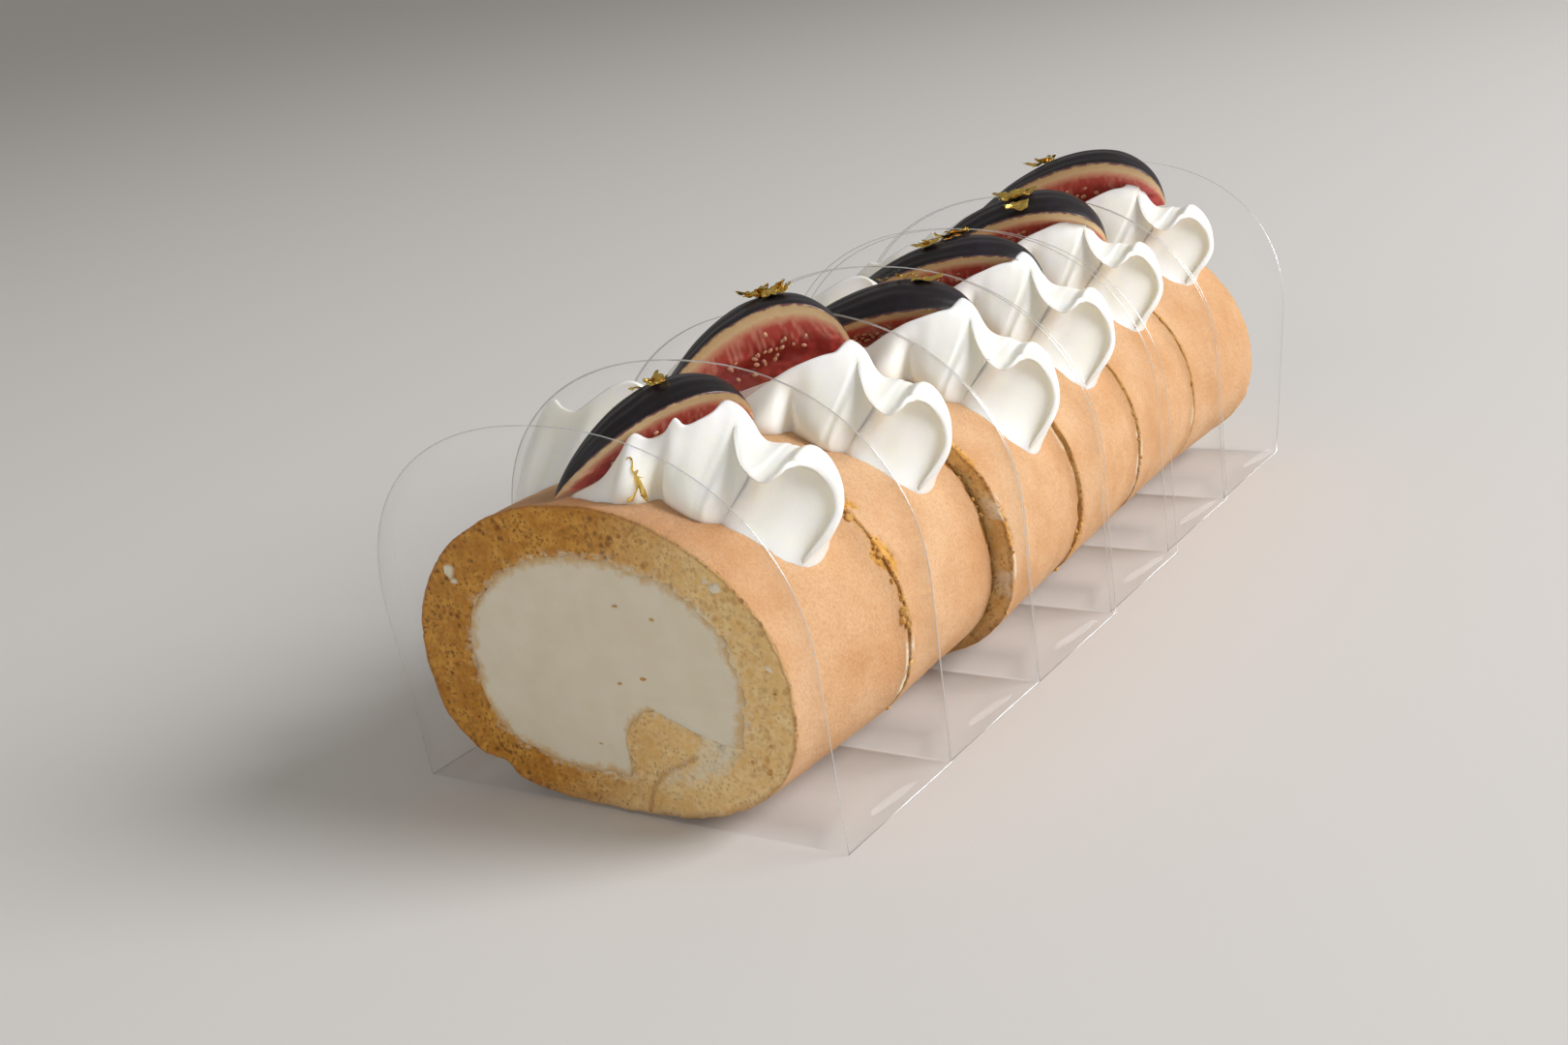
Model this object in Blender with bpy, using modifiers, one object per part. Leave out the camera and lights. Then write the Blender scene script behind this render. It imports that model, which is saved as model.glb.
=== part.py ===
# Swiss roll cake, cut into slices that still stand together as one roll.
# Each slice is a ring of sponge round a cream filling, with a piped cream ruffle, a cream
# dollop and a wedge of fig on top, and it stands in its own clear film, which runs up the
# front cut, under the slice and up the back cut.
# Units are metres, +Z is up, the roll lies along Y with its best-seen cut face at -Y.
import math

import bmesh
import bpy
import numpy as np
from mathutils import Matrix, Vector

slice_count = 6
slice_pitch = 0.0370          # one slice with its film and the gap to the next
film_thickness = 0.0002
gap = 0.00025                 # clearance between pieces that touch

# Outline of the roll, seen from the front: an ellipse above, a squarer curve below
roll_half_width = 0.0434
roll_top = 0.0603
roll_middle = 0.0270          # height of the widest place
roll_squareness = 2.5         # exponent of the lower half
roll_points = 52
tuck_angle = math.radians(218)
tuck_depth = 0.055            # share of the radius, where the outer end is tucked in
tuck_width = math.radians(5)

# Filling: its own outline inside the sponge, with the curled inner end of the sponge in it
filling_half_width = 0.0312
filling_top = 0.0500
filling_bottom = 0.0076
filling_middle = 0.0285
filling_centre_x = 0.0012
filling_squareness = 2.9
filling_points = 44
curl_from = math.radians(-84)
curl_to = math.radians(-21)
curl_ease = math.radians(10)
curl_reach = 0.0108           # distance of the curl's crown from the filling's middle
curl_round = 0.0030           # how much further the two sides of the crown are

# Film: straight sides, then an arch
film_half_width = 0.0497
film_side_height = 0.0360
film_height = 0.0770
film_roundness = 2.2
film_arch_steps = 9
front_lean = math.radians(3.0)
rear_lean = math.radians(15.0)

# Each slice: sideways place of its front and back cut, and of its film
front_shift = (0.0000, 0.0014, 0.0037, 0.0012, -0.0016, -0.0038)
back_shift = (0.0014, -0.0007, 0.0006, -0.0017, -0.0036, -0.0028)
film_shift = (0.0008, 0.0004, 0.0005, -0.0008, -0.0033, -0.0042)

# Piped ruffle, station by station from its left tail to its last petal, in millimetres:
# crest x, y, z; front foot x, y; back foot x, y.  Feet lie on the roll.
ruffle_stations = (
    (-0.4, 5.5, 61.5, -0.8, 4.8, -0.6, 6.8),
    (4.4, 8.6, 66.5, 4.2, 4.9, 3.4, 9.6),
    (9.5, 11.5, 70.3, 8.6, 6.2, 8.0, 13.6),
    (15.7, 14.6, 72.2, 12.8, 7.9, 13.0, 17.4),
    (20.8, 18.8, 73.4, 17.5, 7.6, 17.5, 20.6),
    (25.2, 20.0, 71.8, 21.5, 9.2, 21.8, 23.6),
    (29.2, 15.8, 66.6, 24.3, 12.0, 25.5, 25.6),
    (33.4, 14.4, 63.2, 26.8, 12.9, 29.0, 27.0),
    (36.4, 19.5, 63.0, 30.0, 13.2, 32.0, 27.4),
    (38.9, 24.4, 58.6, 33.3, 14.4, 34.4, 26.5),
    (39.4, 22.2, 51.2, 35.0, 16.0, 35.6, 23.0),
    (37.0, 18.8, 47.6, 35.6, 17.2, 36.0, 19.5),
)
ruffle_rings = 24
ruffle_flank_steps = 4
ruffle_bulge = 0.0022

# Dollop behind the fig, in the same way but with a single fold
dollop_stations = (
    (-31.0, 21.0, 54.0, -30.2, 20.4, -30.6, 22.4),
    (-29.6, 23.0, 62.0, -27.0, 16.5, -28.2, 27.0),
    (-24.0, 24.0, 70.5, -22.0, 14.8, -22.5, 29.5),
    (-15.0, 25.0, 70.5, -14.0, 16.0, -13.0, 30.5),
    (-6.0, 27.0, 73.5, -4.0, 20.0, -4.0, 30.5),
    (3.0, 27.5, 66.0, 6.5, 26.4, 4.0, 30.0),
)
dollop_rings = 13

# Fig wedge: a sector of the fruit, its core edge down and its skin up
fig_length = 0.0440
fig_radius = 0.0165
fig_sector = math.radians(58)
fig_peak = 0.651 ** 0.82 * 0.349 ** 0.44   # so that the radius is reached at its widest row
fig_rows = 9
fig_skin_steps = 5
# left tip x, y, z in mm; turn, climb and roll in degrees; size and plumpness, one row for each slice
fig_places = (
    (-3.9, 2.6, 61.2, 55, 8.9, -7, 0.88, 0.90),
    (-14.9, 8.1, 61.6, 37, 10.2, 10, 0.97, 0.96),
    (-18.0, 13.1, 62.0, 28, 2.5, -16, 1.08, 0.72),
    (-21.0, 13.5, 62.6, 24, 1.5, -8, 1.10, 0.74),
    (-19.4, 14.9, 62.4, 24, 3.0, -9, 1.06, 0.84),
    (-23.6, 12.2, 63.6, 23, 3.4, 0, 1.15, 0.82),
)
topping_setback = (0.0, 3.8, 4.2, 3.8, 4.2, 3.8)
topping_slide = (0.0, -0.6, 1.8, 0.0, -2.0, -3.0)

slice_front = film_thickness + gap
slice_depth = slice_pitch - 2 * film_thickness - 3 * gap
roll_lift = film_thickness + gap
topping_lift = 0.0006


def clear_scene():
    for item in list(bpy.data.objects):
        bpy.data.objects.remove(item, do_unlink=True)


def make_material(name, colour, roughness, metallic=0.0, alpha=1.0):
    material = bpy.data.materials.new(name)
    material.use_nodes = True
    shader = material.node_tree.nodes["Principled BSDF"]
    shader.inputs["Base Color"].default_value = (*colour, 1.0)
    shader.inputs["Roughness"].default_value = roughness
    shader.inputs["Metallic"].default_value = metallic
    shader.inputs["Alpha"].default_value = alpha
    return material


def add_mesh_object(name, mesh, material, collection):
    mesh.name = name
    part = bpy.data.objects.new(name, mesh)
    part.data.materials.clear()
    part.data.materials.append(material)
    collection.objects.link(part)
    return part


def squircle(angle, half_width, half_height, exponent):
    """Point of a superellipse in the direction of an angle."""
    c, s = math.cos(angle), math.sin(angle)
    radius = (abs(c / half_width) ** exponent + abs(s / half_height) ** exponent) ** (-1 / exponent)
    return radius * c, radius * s


def roll_point(angle, outward=0.0):
    """Roll outline: ellipse above its widest place, squarer below, with the tucked-in end."""
    if math.sin(angle) >= 0:
        x, z = squircle(angle, roll_half_width + outward, roll_top - roll_middle + outward, 2.0)
    else:
        x, z = squircle(angle, roll_half_width + outward, roll_middle + outward, roll_squareness)
    tuck = 1 - tuck_depth * math.exp(-((angle - tuck_angle) / tuck_width) ** 2)
    return x * tuck, z * tuck + roll_middle + roll_lift


def smooth_step(value):
    value = min(max(value, 0.0), 1.0)
    return value * value * (3 - 2 * value)


def filling_point(angle, inset=0.0):
    """Filling outline: a rounded shape into which the sponge's inner end curls."""
    if math.sin(angle) >= 0:
        half_height, exponent = filling_top - filling_middle, 2.1
    else:
        half_height, exponent = filling_middle - filling_bottom, filling_squareness
    x, z = squircle(angle, filling_half_width, half_height, exponent)
    signed = math.atan2(math.sin(angle), math.cos(angle))
    inside = smooth_step((signed - curl_from) / curl_ease) * smooth_step((curl_to - signed) / curl_ease)
    radius = math.hypot(x, z)
    middle = (curl_from + curl_to) / 2
    away = max(-1.0, min(1.0, (signed - middle) / (curl_to - middle)))
    radius += inside * (curl_reach + curl_round * away ** 2 - radius) - inset
    return (radius * math.cos(angle) + filling_centre_x,
            radius * math.sin(angle) + filling_middle + roll_lift)


def outline_mesh(outlines, thickness, front_y):
    """Plate standing across Y, from its outline and any hole in it."""
    curve = bpy.data.curves.new("outline", "CURVE")
    curve.dimensions = "2D"
    curve.fill_mode = "BOTH"
    curve.extrude = thickness / 2
    for points in outlines:
        spline = curve.splines.new("POLY")
        spline.points.add(len(points) - 1)
        for target, (x, z) in zip(spline.points, points):
            target.co = (x, z, 0, 1)
        spline.use_cyclic_u = True
    holder = bpy.data.objects.new("outline", curve)
    bpy.context.scene.collection.objects.link(holder)
    bpy.context.view_layer.update()
    evaluated = holder.evaluated_get(bpy.context.evaluated_depsgraph_get())
    mesh = bpy.data.meshes.new_from_object(evaluated)
    bpy.data.objects.remove(holder, do_unlink=True)
    stand = Matrix.Translation((0, front_y + thickness / 2, 0)) @ Matrix.Rotation(math.pi / 2, 4, "X")
    mesh.transform(stand)
    weld_and_face_out(mesh)
    return mesh


def weld_and_face_out(mesh):
    shape = bmesh.new()
    shape.from_mesh(mesh)
    bmesh.ops.remove_doubles(shape, verts=shape.verts, dist=0.00001)
    bmesh.ops.recalc_face_normals(shape, faces=shape.faces)
    shape.to_mesh(mesh)
    shape.free()


def skew_slice(mesh, index):
    """Slide each cross-section sideways, from the front cut's place to the back cut's."""
    slope = (back_shift[index] - front_shift[index]) / slice_depth
    start = index * slice_pitch + slice_front
    skew = Matrix.Identity(4)
    skew[0][1] = slope
    skew[0][3] = front_shift[index] - slope * start
    mesh.transform(skew)


def make_sponge(index, material, collection):
    outer = [roll_point(2 * math.pi * i / roll_points) for i in range(roll_points)]
    inner = [filling_point(2 * math.pi * i / filling_points) for i in range(filling_points)]
    mesh = outline_mesh((outer, inner), slice_depth, index * slice_pitch + slice_front)
    skew_slice(mesh, index)
    part = add_mesh_object(f"sponge_{index + 1}", mesh, material, collection)
    smooth_round(part)


def make_filling(index, material, collection):
    outline = [filling_point(2 * math.pi * i / filling_points, gap) for i in range(filling_points)]
    mesh = outline_mesh((outline,), slice_depth, index * slice_pitch + slice_front)
    skew_slice(mesh, index)
    part = add_mesh_object(f"filling_{index + 1}", mesh, material, collection)
    smooth_round(part)


def smooth_round(part):
    part.data.shade_smooth()
    part.data.set_sharp_from_angle(angle=math.radians(40))


def surface_height(x):
    """Height just above the roll's skin at a sideways place."""
    share = min(abs(x) / (roll_half_width + topping_lift), 0.999)
    rise = math.sqrt(1 - share * share) * (roll_top - roll_middle + topping_lift)
    return roll_middle + roll_lift + rise


def spread_stations(stations, rings):
    """Smooth rows between the stations: a Catmull-Rom curve through each column."""
    table = np.array(stations) / 1000
    padded = np.vstack((2 * table[0] - table[1], table, 2 * table[-1] - table[-2]))
    place = np.linspace(0, len(table) - 1, rings)
    cell = np.minimum(place.astype(int), len(table) - 2)
    t = (place - cell)[:, None]
    a, b, c, d = (padded[cell + k] for k in range(4))
    return b + 0.5 * t * (c - a + t * (2 * a - 5 * b + 4 * c - d + t * (3 * (b - c) + d - a)))


def flank(foot, crest, middle, bulge, steps):
    """Side of the piped fin: a cubic from a foot up to the crest, full below, thin above."""
    fin = crest - middle
    side = foot - middle
    side_length = np.linalg.norm(side) + 1e-9
    low = foot + 0.40 * fin + side / side_length * bulge
    high = crest - 0.38 * fin + side * 0.10
    t = np.linspace(0, 1, steps + 1)[:, None]
    return (1 - t) ** 3 * foot + 3 * (1 - t) ** 2 * t * low + 3 * (1 - t) * t * t * high + t ** 3 * crest


def make_piped(name, stations, rings, index, material, collection):
    """Loft through the stations: front foot, crest, back foot, then underneath along the roll."""
    rows = []
    slide = topping_slide[index] / 1000
    for row in spread_stations(stations, rings):
        row[[0, 3, 5]] += slide
        drop = surface_height(row[3]) - surface_height(row[3] - slide)
        crest = row[0:3] + (0, 0, roll_lift + drop)
        front = np.array((row[3], row[4], surface_height(row[3])))
        back = np.array((row[5], row[6], surface_height(row[5])))
        middle = (front + back) / 2
        up = flank(front, crest, middle, ruffle_bulge, ruffle_flank_steps)
        down = flank(back, crest, middle, ruffle_bulge, ruffle_flank_steps)[::-1]
        under_x = (front[0] + back[0]) / 2
        under = np.array((under_x, (front[1] + back[1]) / 2, surface_height(under_x)))
        rows.append(np.vstack((up, down[1:], under[None])))
    shape = bmesh.new()
    loops = [[shape.verts.new(Vector(point)) for point in row] for row in rows]
    around = len(rows[0])
    for a, b in zip(loops[:-1], loops[1:]):
        for i in range(around):
            j = (i + 1) % around
            shape.faces.new((a[i], b[i], b[j], a[j]))
    shape.faces.new(loops[0])
    shape.faces.new(loops[-1][::-1])
    bmesh.ops.triangulate(shape, faces=[face for face in shape.faces if len(face.verts) > 4])
    if shape.calc_volume(signed=True) < 0:
        bmesh.ops.reverse_faces(shape, faces=shape.faces)
    mesh = bpy.data.meshes.new(name)
    shape.to_mesh(mesh)
    shape.free()
    forward = index * slice_pitch + topping_setback[index] / 1000
    mesh.transform(Matrix.Translation((0, forward, 0)))
    skew_slice(mesh, index)
    part = add_mesh_object(f"{name}_{index + 1}", mesh, material, collection)
    smooth_round(part)
    return part


def fig_mesh(name, grow):
    """Sector of the fruit: half-ellipse rows along the core, pointed at the stem end."""
    shape = bmesh.new()
    tips = [shape.verts.new((-grow, 0, 0)), shape.verts.new((fig_length + grow, 0, 0))]
    rows = []
    for r in range(fig_rows):
        s = (r + 0.6) / (fig_rows + 0.2)
        radius = fig_radius * s ** 0.82 * (1 - s) ** 0.44 / fig_peak + grow
        core = shape.verts.new((fig_length * s, 0, -3 * grow))
        ring = [core]
        for k in range(fig_skin_steps + 1):
            angle = fig_sector * (k / fig_skin_steps - 0.5) * (1 + grow / fig_radius * 2)
            ring.append(shape.verts.new((fig_length * s, radius * math.sin(angle),
                                         radius * math.cos(angle))))
        rows.append(ring)
    size = fig_skin_steps + 2
    for a, b in zip(rows[:-1], rows[1:]):
        for i in range(size):
            j = (i + 1) % size
            shape.faces.new((a[i], b[i], b[j], a[j]))
    for i in range(size):
        j = (i + 1) % size
        shape.faces.new((tips[0], rows[0][i], rows[0][j]))
        shape.faces.new((tips[1], rows[-1][j], rows[-1][i]))
    bmesh.ops.recalc_face_normals(shape, faces=shape.faces)
    mesh = bpy.data.meshes.new(name)
    shape.to_mesh(mesh)
    shape.free()
    return mesh


def fig_move(index):
    x, y, z, turn, climb, roll, size, plump = fig_places[index]
    place = Matrix.Translation((x / 1000, index * slice_pitch + y / 1000, z / 1000))
    turned = Matrix.Rotation(math.radians(turn), 4, "Z") @ Matrix.Rotation(math.radians(-climb), 4, "Y")
    shape = Matrix.Diagonal((size, size * plump, size * plump, 1))
    return place @ turned @ Matrix.Rotation(math.radians(-roll), 4, "X") @ shape


def make_fig(index, material, collection, cutters):
    mesh = fig_mesh(f"fig_{index + 1}", 0.0)
    mesh.transform(fig_move(index))
    skew_slice(mesh, index)
    part = add_mesh_object(f"fig_{index + 1}", mesh, material, collection)
    smooth_round(part)
    cutter_mesh = fig_mesh("fig_room", gap)
    cutter_mesh.transform(fig_move(index))
    skew_slice(cutter_mesh, index)
    cutter = add_mesh_object(f"fig_room_{index + 1}", cutter_mesh, material, cutters)
    cutter.hide_render = True
    cutter.display_type = "WIRE"
    return cutter


def cut_away(part, cutter):
    cut = part.modifiers.new("room for the fig", "BOOLEAN")
    cut.operation = "DIFFERENCE"
    cut.solver = "EXACT"
    cut.object = cutter


def film_rows():
    """Half-width and height up one arch, from the fold to the crown."""
    rows = [(film_half_width, 0.0), (film_half_width + 0.0006, film_side_height)]
    for i in range(1, film_arch_steps + 1):
        angle = math.pi / 2 * i / (film_arch_steps + 0.35)
        across = (film_half_width + 0.0006) * math.cos(angle) ** (2 / film_roundness)
        rise = (film_height - film_side_height) * math.sin(angle) ** (2 / film_roundness)
        rows.append((across, film_side_height + rise))
    return rows


def make_film(index, material, collection):
    """Sheet folded up at its front and back edges, as an open surface that Solidify thickens."""
    start = index * slice_pitch
    depth = slice_pitch - gap
    lean_front = front_lean if index == 0 else 0.0
    lean_rear = rear_lean if index == slice_count - 1 else 0.0
    path = [(start - height * math.sin(lean_front), height * math.cos(lean_front), width)
            for width, height in reversed(film_rows())]
    path += [(start + depth + height * math.sin(lean_rear), height * math.cos(lean_rear), width)
             for width, height in film_rows()]
    shape = bmesh.new()
    pairs = [[shape.verts.new((film_shift[index] + side * width, y, z)) for side in (-1, 1)]
             for y, z, width in path]
    for (left, right), (next_left, next_right) in zip(pairs[:-1], pairs[1:]):
        shape.faces.new((left, right, next_right, next_left))
    mesh = bpy.data.meshes.new("film")
    shape.to_mesh(mesh)
    shape.free()
    part = add_mesh_object(f"film_{index + 1}", mesh, material, collection)
    wall = part.modifiers.new("film thickness", "SOLIDIFY")
    wall.thickness = film_thickness
    wall.offset = -1 if inward_is_up(mesh) else 1
    wall.use_even_offset = True


def inward_is_up(mesh):
    """True where the base face points down, so that the wall has to grow the other way."""
    base = min(mesh.polygons, key=lambda face: face.center.z)
    return base.normal.z < 0


def move_to_base_middle(collection):
    """Move that puts the middle of the whole object's box, at its lowest point, on the origin."""
    bpy.context.view_layer.update()
    graph = bpy.context.evaluated_depsgraph_get()
    corners = []
    for part in collection.objects:
        corners += [part.matrix_world @ Vector(c) for c in part.evaluated_get(graph).bound_box]
    low = Vector([min(c[i] for c in corners) for i in range(3)])
    high = Vector([max(c[i] for c in corners) for i in range(3)])
    return Vector((-(low.x + high.x) / 2, -(low.y + high.y) / 2, -low.z))


def build():
    clear_scene()
    collection = bpy.data.collections.new("swiss_roll_cake")
    cutters = bpy.data.collections.new("cutters")
    bpy.context.scene.collection.children.link(collection)
    bpy.context.scene.collection.children.link(cutters)
    sponge = make_material("sponge", (0.62, 0.33, 0.12), 0.9)
    filling = make_material("filling cream", (0.86, 0.82, 0.68), 0.5)
    cream = make_material("piped cream", (0.90, 0.88, 0.78), 0.4)
    fig = make_material("fig", (0.10, 0.03, 0.05), 0.35)
    film = make_material("clear film", (0.9, 0.9, 0.9), 0.1, alpha=0.2)
    for index in range(slice_count):
        make_sponge(index, sponge, collection)
        make_filling(index, filling, collection)
        make_piped("ruffle", ruffle_stations, ruffle_rings, index, cream, collection)
        dollop = make_piped("dollop", dollop_stations, dollop_rings, index, cream, collection)
        cutter = make_fig(index, fig, collection, cutters)
        cut_away(dollop, cutter)
        make_film(index, film, collection)
    move = move_to_base_middle(collection)
    for part in list(collection.objects) + list(cutters.objects):
        part.location += move
    bpy.context.view_layer.update()


build()
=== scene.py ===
import math

import bpy
import numpy as np
from mathutils import Matrix, Vector


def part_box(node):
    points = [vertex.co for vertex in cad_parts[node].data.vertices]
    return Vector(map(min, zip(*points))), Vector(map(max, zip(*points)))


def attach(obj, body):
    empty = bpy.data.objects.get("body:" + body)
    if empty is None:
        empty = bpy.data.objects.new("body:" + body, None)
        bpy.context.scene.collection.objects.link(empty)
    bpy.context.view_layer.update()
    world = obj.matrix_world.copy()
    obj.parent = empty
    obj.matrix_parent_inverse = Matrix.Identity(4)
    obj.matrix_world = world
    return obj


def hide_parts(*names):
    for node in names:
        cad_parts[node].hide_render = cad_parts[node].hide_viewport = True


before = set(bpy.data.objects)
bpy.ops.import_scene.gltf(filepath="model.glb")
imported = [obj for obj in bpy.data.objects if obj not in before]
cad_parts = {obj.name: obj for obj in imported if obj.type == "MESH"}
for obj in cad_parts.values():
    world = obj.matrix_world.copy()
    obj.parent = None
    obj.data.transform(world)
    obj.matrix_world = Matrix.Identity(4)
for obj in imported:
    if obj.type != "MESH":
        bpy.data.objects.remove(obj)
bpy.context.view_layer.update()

sliceCount = 6
mm = 0.001
print("frame loaded")


# ---- small helpers

def linearColour(hexText):
    # sRGB hex to linear: v / 12.92 near black, else ((v + 0.055) / 1.055) ^ 2.4
    value = np.array([int(hexText[i:i + 2], 16) / 255 for i in (1, 3, 5)])
    return tuple(np.where(value < 0.04045, value / 12.92, ((value + 0.055) / 1.055) ** 2.4)) + (1.0,)


def addNode(tree, kind, inputs=None, **settings):
    # adds one node, gives it its settings, and sets or links its inputs
    node = tree.nodes.new(kind)
    for key, value in settings.items():
        setattr(node, key, value)
    for key, value in (inputs or {}).items():
        if isinstance(value, bpy.types.NodeSocket):
            tree.links.new(value, node.inputs[key])
        else:
            node.inputs[key].default_value = value
    return node


def newMaterial(name, values):
    # values: what is the same all over the surface, set on the shader's own sockets
    material = bpy.data.materials.new(name)
    material.use_nodes = True
    tree = material.node_tree
    tree.nodes.clear()
    shader = addNode(tree, "ShaderNodeBsdfPrincipled", values)
    addNode(tree, "ShaderNodeOutputMaterial", {"Surface": shader.outputs[0]})
    return material, tree, shader


def hashNumbers(cells, seed):
    # whole-array integer hash of lattice cells, to numbers from -1 to 1
    x, y, z = (cells[..., i].astype(np.int64).astype(np.uint32) for i in range(3))
    h = x * np.uint32(374761393) + y * np.uint32(668265263) + z * np.uint32(2246822519)
    h = h + np.uint32(seed * 97531 + 1013)
    h = (h ^ (h >> np.uint32(13))) * np.uint32(1274126177)
    h = (h ^ (h >> np.uint32(16))) * np.uint32(2654435761)
    h = h ^ (h >> np.uint32(15))
    return h.astype(np.float64) / 2147483647.5 - 1


def softNoise(points, size, seed=0):
    # value noise: the eight corners of each cell, blended by 3t^2 - 2t^3 along each axis
    place = points / size
    cell = np.floor(place)
    t = place - cell
    t = t * t * (3 - 2 * t)
    total = 0
    for corner in np.ndindex(2, 2, 2):
        corner = np.array(corner)
        weight = np.prod(np.where(corner == 1, t, 1 - t), axis=-1)
        total = total + weight * hashNumbers(cell + corner, seed)
    return total


def layeredNoise(points, size, seed=0, layers=3):
    # each layer is half the size and half the strength of the last
    return sum(softNoise(points, size / 2 ** i, seed + 17 * i) / 2 ** i for i in range(layers))


def ease(value):
    value = np.clip(value, 0, 1)
    return value * value * (3 - 2 * value)


def gridFaces(rows, cols, wrapRows, wrapCols):
    # quads between neighbours of a grid, counted over whole arrays
    r = np.arange(rows if wrapRows else rows - 1)
    c = np.arange(cols if wrapCols else cols - 1)
    r, c = np.meshgrid(r, c, indexing="ij")
    nextR, nextC = (r + 1) % rows, (c + 1) % cols
    corners = (r * cols + c, nextR * cols + c, nextR * cols + nextC, r * cols + nextC)
    return np.stack(corners, -1).reshape(-1, 4)


def meshFromArrays(name, points, quads, triangles=None, attributes=None, materials=()):
    mesh = bpy.data.meshes.new(name)
    points = np.asarray(points, dtype=np.float32).reshape(-1, 3)
    triangles = np.zeros((0, 3), int) if triangles is None else triangles
    loops = np.concatenate((quads.reshape(-1), triangles.reshape(-1)))
    sizes = np.concatenate((np.full(len(quads), 4), np.full(len(triangles), 3)))
    starts = np.concatenate(([0], np.cumsum(sizes)[:-1]))
    mesh.vertices.add(len(points))
    mesh.vertices.foreach_set("co", points.reshape(-1))
    mesh.loops.add(len(loops))
    mesh.loops.foreach_set("vertex_index", loops.astype(np.int32))
    mesh.polygons.add(len(sizes))
    mesh.polygons.foreach_set("loop_start", starts.astype(np.int32))
    mesh.polygons.foreach_set("use_smooth", np.ones(len(sizes), dtype=bool))
    mesh.update(calc_edges=True)
    mesh.validate()
    for key, values in (attributes or {}).items():
        layer = mesh.attributes.new(key, "FLOAT", "POINT")
        layer.data.foreach_set("value", np.asarray(values, dtype=np.float32).reshape(-1))
    for material in materials:
        mesh.materials.append(material)
    return mesh


def fullTurn(count):
    return np.linspace(0, 2 * np.pi, count, endpoint=False)


def polesFor(points):
    # a grid whose first and last rows are single points: quads between the rest, fans at the ends
    rows, cols = points.shape[:2]
    body = points[1:-1].reshape(-1, 3)
    allPoints = np.vstack((body, points[0, :1], points[-1, :1]))
    quads = gridFaces(rows - 2, cols, False, True)
    c = np.arange(cols)
    nextC = (c + 1) % cols
    first, last = len(body), len(body) + 1
    base = (rows - 3) * cols
    startFan = np.stack((np.full(cols, first), c, nextC), -1)
    endFan = np.stack((np.full(cols, last), base + nextC, base + c), -1)
    return allPoints, quads, np.vstack((startFan, endFan))


def polesOf(values):
    # a value for each of polesFor's points
    return np.concatenate((values[1:-1].reshape(-1), values[0, :1], values[-1, :1]))


def signedVolume(points, quads, triangles):
    tris = np.vstack((quads[:, [0, 1, 2]], quads[:, [0, 2, 3]], triangles))
    a, b, c = (points[tris[:, i]] for i in range(3))
    return np.einsum("ij,ij->i", a, np.cross(b, c)).sum() / 6


def closedPiece(name, points, quads, triangles, materials, attributes=None):
    # turns the faces outward where the enclosed volume comes out negative
    triangles = np.zeros((0, 3), int) if triangles is None else triangles
    points = np.asarray(points).reshape(-1, 3)
    if signedVolume(points, quads, triangles) < 0:
        quads, triangles = quads[:, ::-1], triangles[:, ::-1]
    mesh = meshFromArrays(name, points, quads, triangles, attributes, materials)
    piece = bpy.data.objects.new(name, mesh)
    bpy.context.scene.collection.objects.link(piece)
    return piece


def settle(piece, slotName, *nodes):
    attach(piece, "root")
    if nodes:
        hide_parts(*nodes)


def splineRows(table, count):
    # Catmull-Rom curve through each column of a table of stations
    table = np.asarray(table, dtype=float)
    padded = np.vstack((2 * table[0] - table[1], table, 2 * table[-1] - table[-2]))
    place = np.linspace(0, len(table) - 1, count)
    cell = np.minimum(place.astype(int), len(table) - 2)
    t = (place - cell)[:, None]
    a, b, c, d = (padded[cell + k] for k in range(4))
    return b + 0.5 * t * (c - a + t * (2 * a - 5 * b + 4 * c - d + t * (3 * (b - c) + d - a)))


# ---- camera, floor and light

view = {
    "place": (0.2252, -0.3573, 0.1601),   # metres, from the object's origin
    "azimuth": 36.45, "pitch": 18.49, "roll": -8.55,   # degrees
    "lens": 44.04, "sensor": 36,          # millimetres
    "clip": (0.01, 400),                  # metres
}


def makeCamera():
    data = bpy.data.cameras.new("camera")
    data.lens = view["lens"]
    data.sensor_width = view["sensor"]
    data.clip_start, data.clip_end = view["clip"]
    camera = bpy.data.objects.new("camera", data)
    azimuth, pitch, roll = (math.radians(view[key]) for key in ("azimuth", "pitch", "roll"))
    turn = Matrix.Rotation(azimuth, 4, "Z") @ Matrix.Rotation(math.pi / 2 - pitch, 4, "X")
    turn = turn @ Matrix.Rotation(roll, 4, "Z")
    camera.matrix_world = Matrix.Translation(view["place"]) @ turn
    bpy.context.scene.collection.objects.link(camera)
    bpy.context.scene.camera = camera


studio = {
    "floor": "#d9d6d2", "floorSize": 300.0,            # metres
    "world": 0.31, "worldColour": (1.0, 0.97, 0.92, 1.0),
    "aim": (0, 0, 0.03),
    "key": {"place": (1.7, 0.72, 1.12), "size": 1.2, "power": 53.0, "colour": "#fcfcff"},
    "fill": {"place": (-0.3, -1.7, 0.55), "size": 1.6, "power": 5.0, "colour": "#fbfbff"},
}


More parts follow.
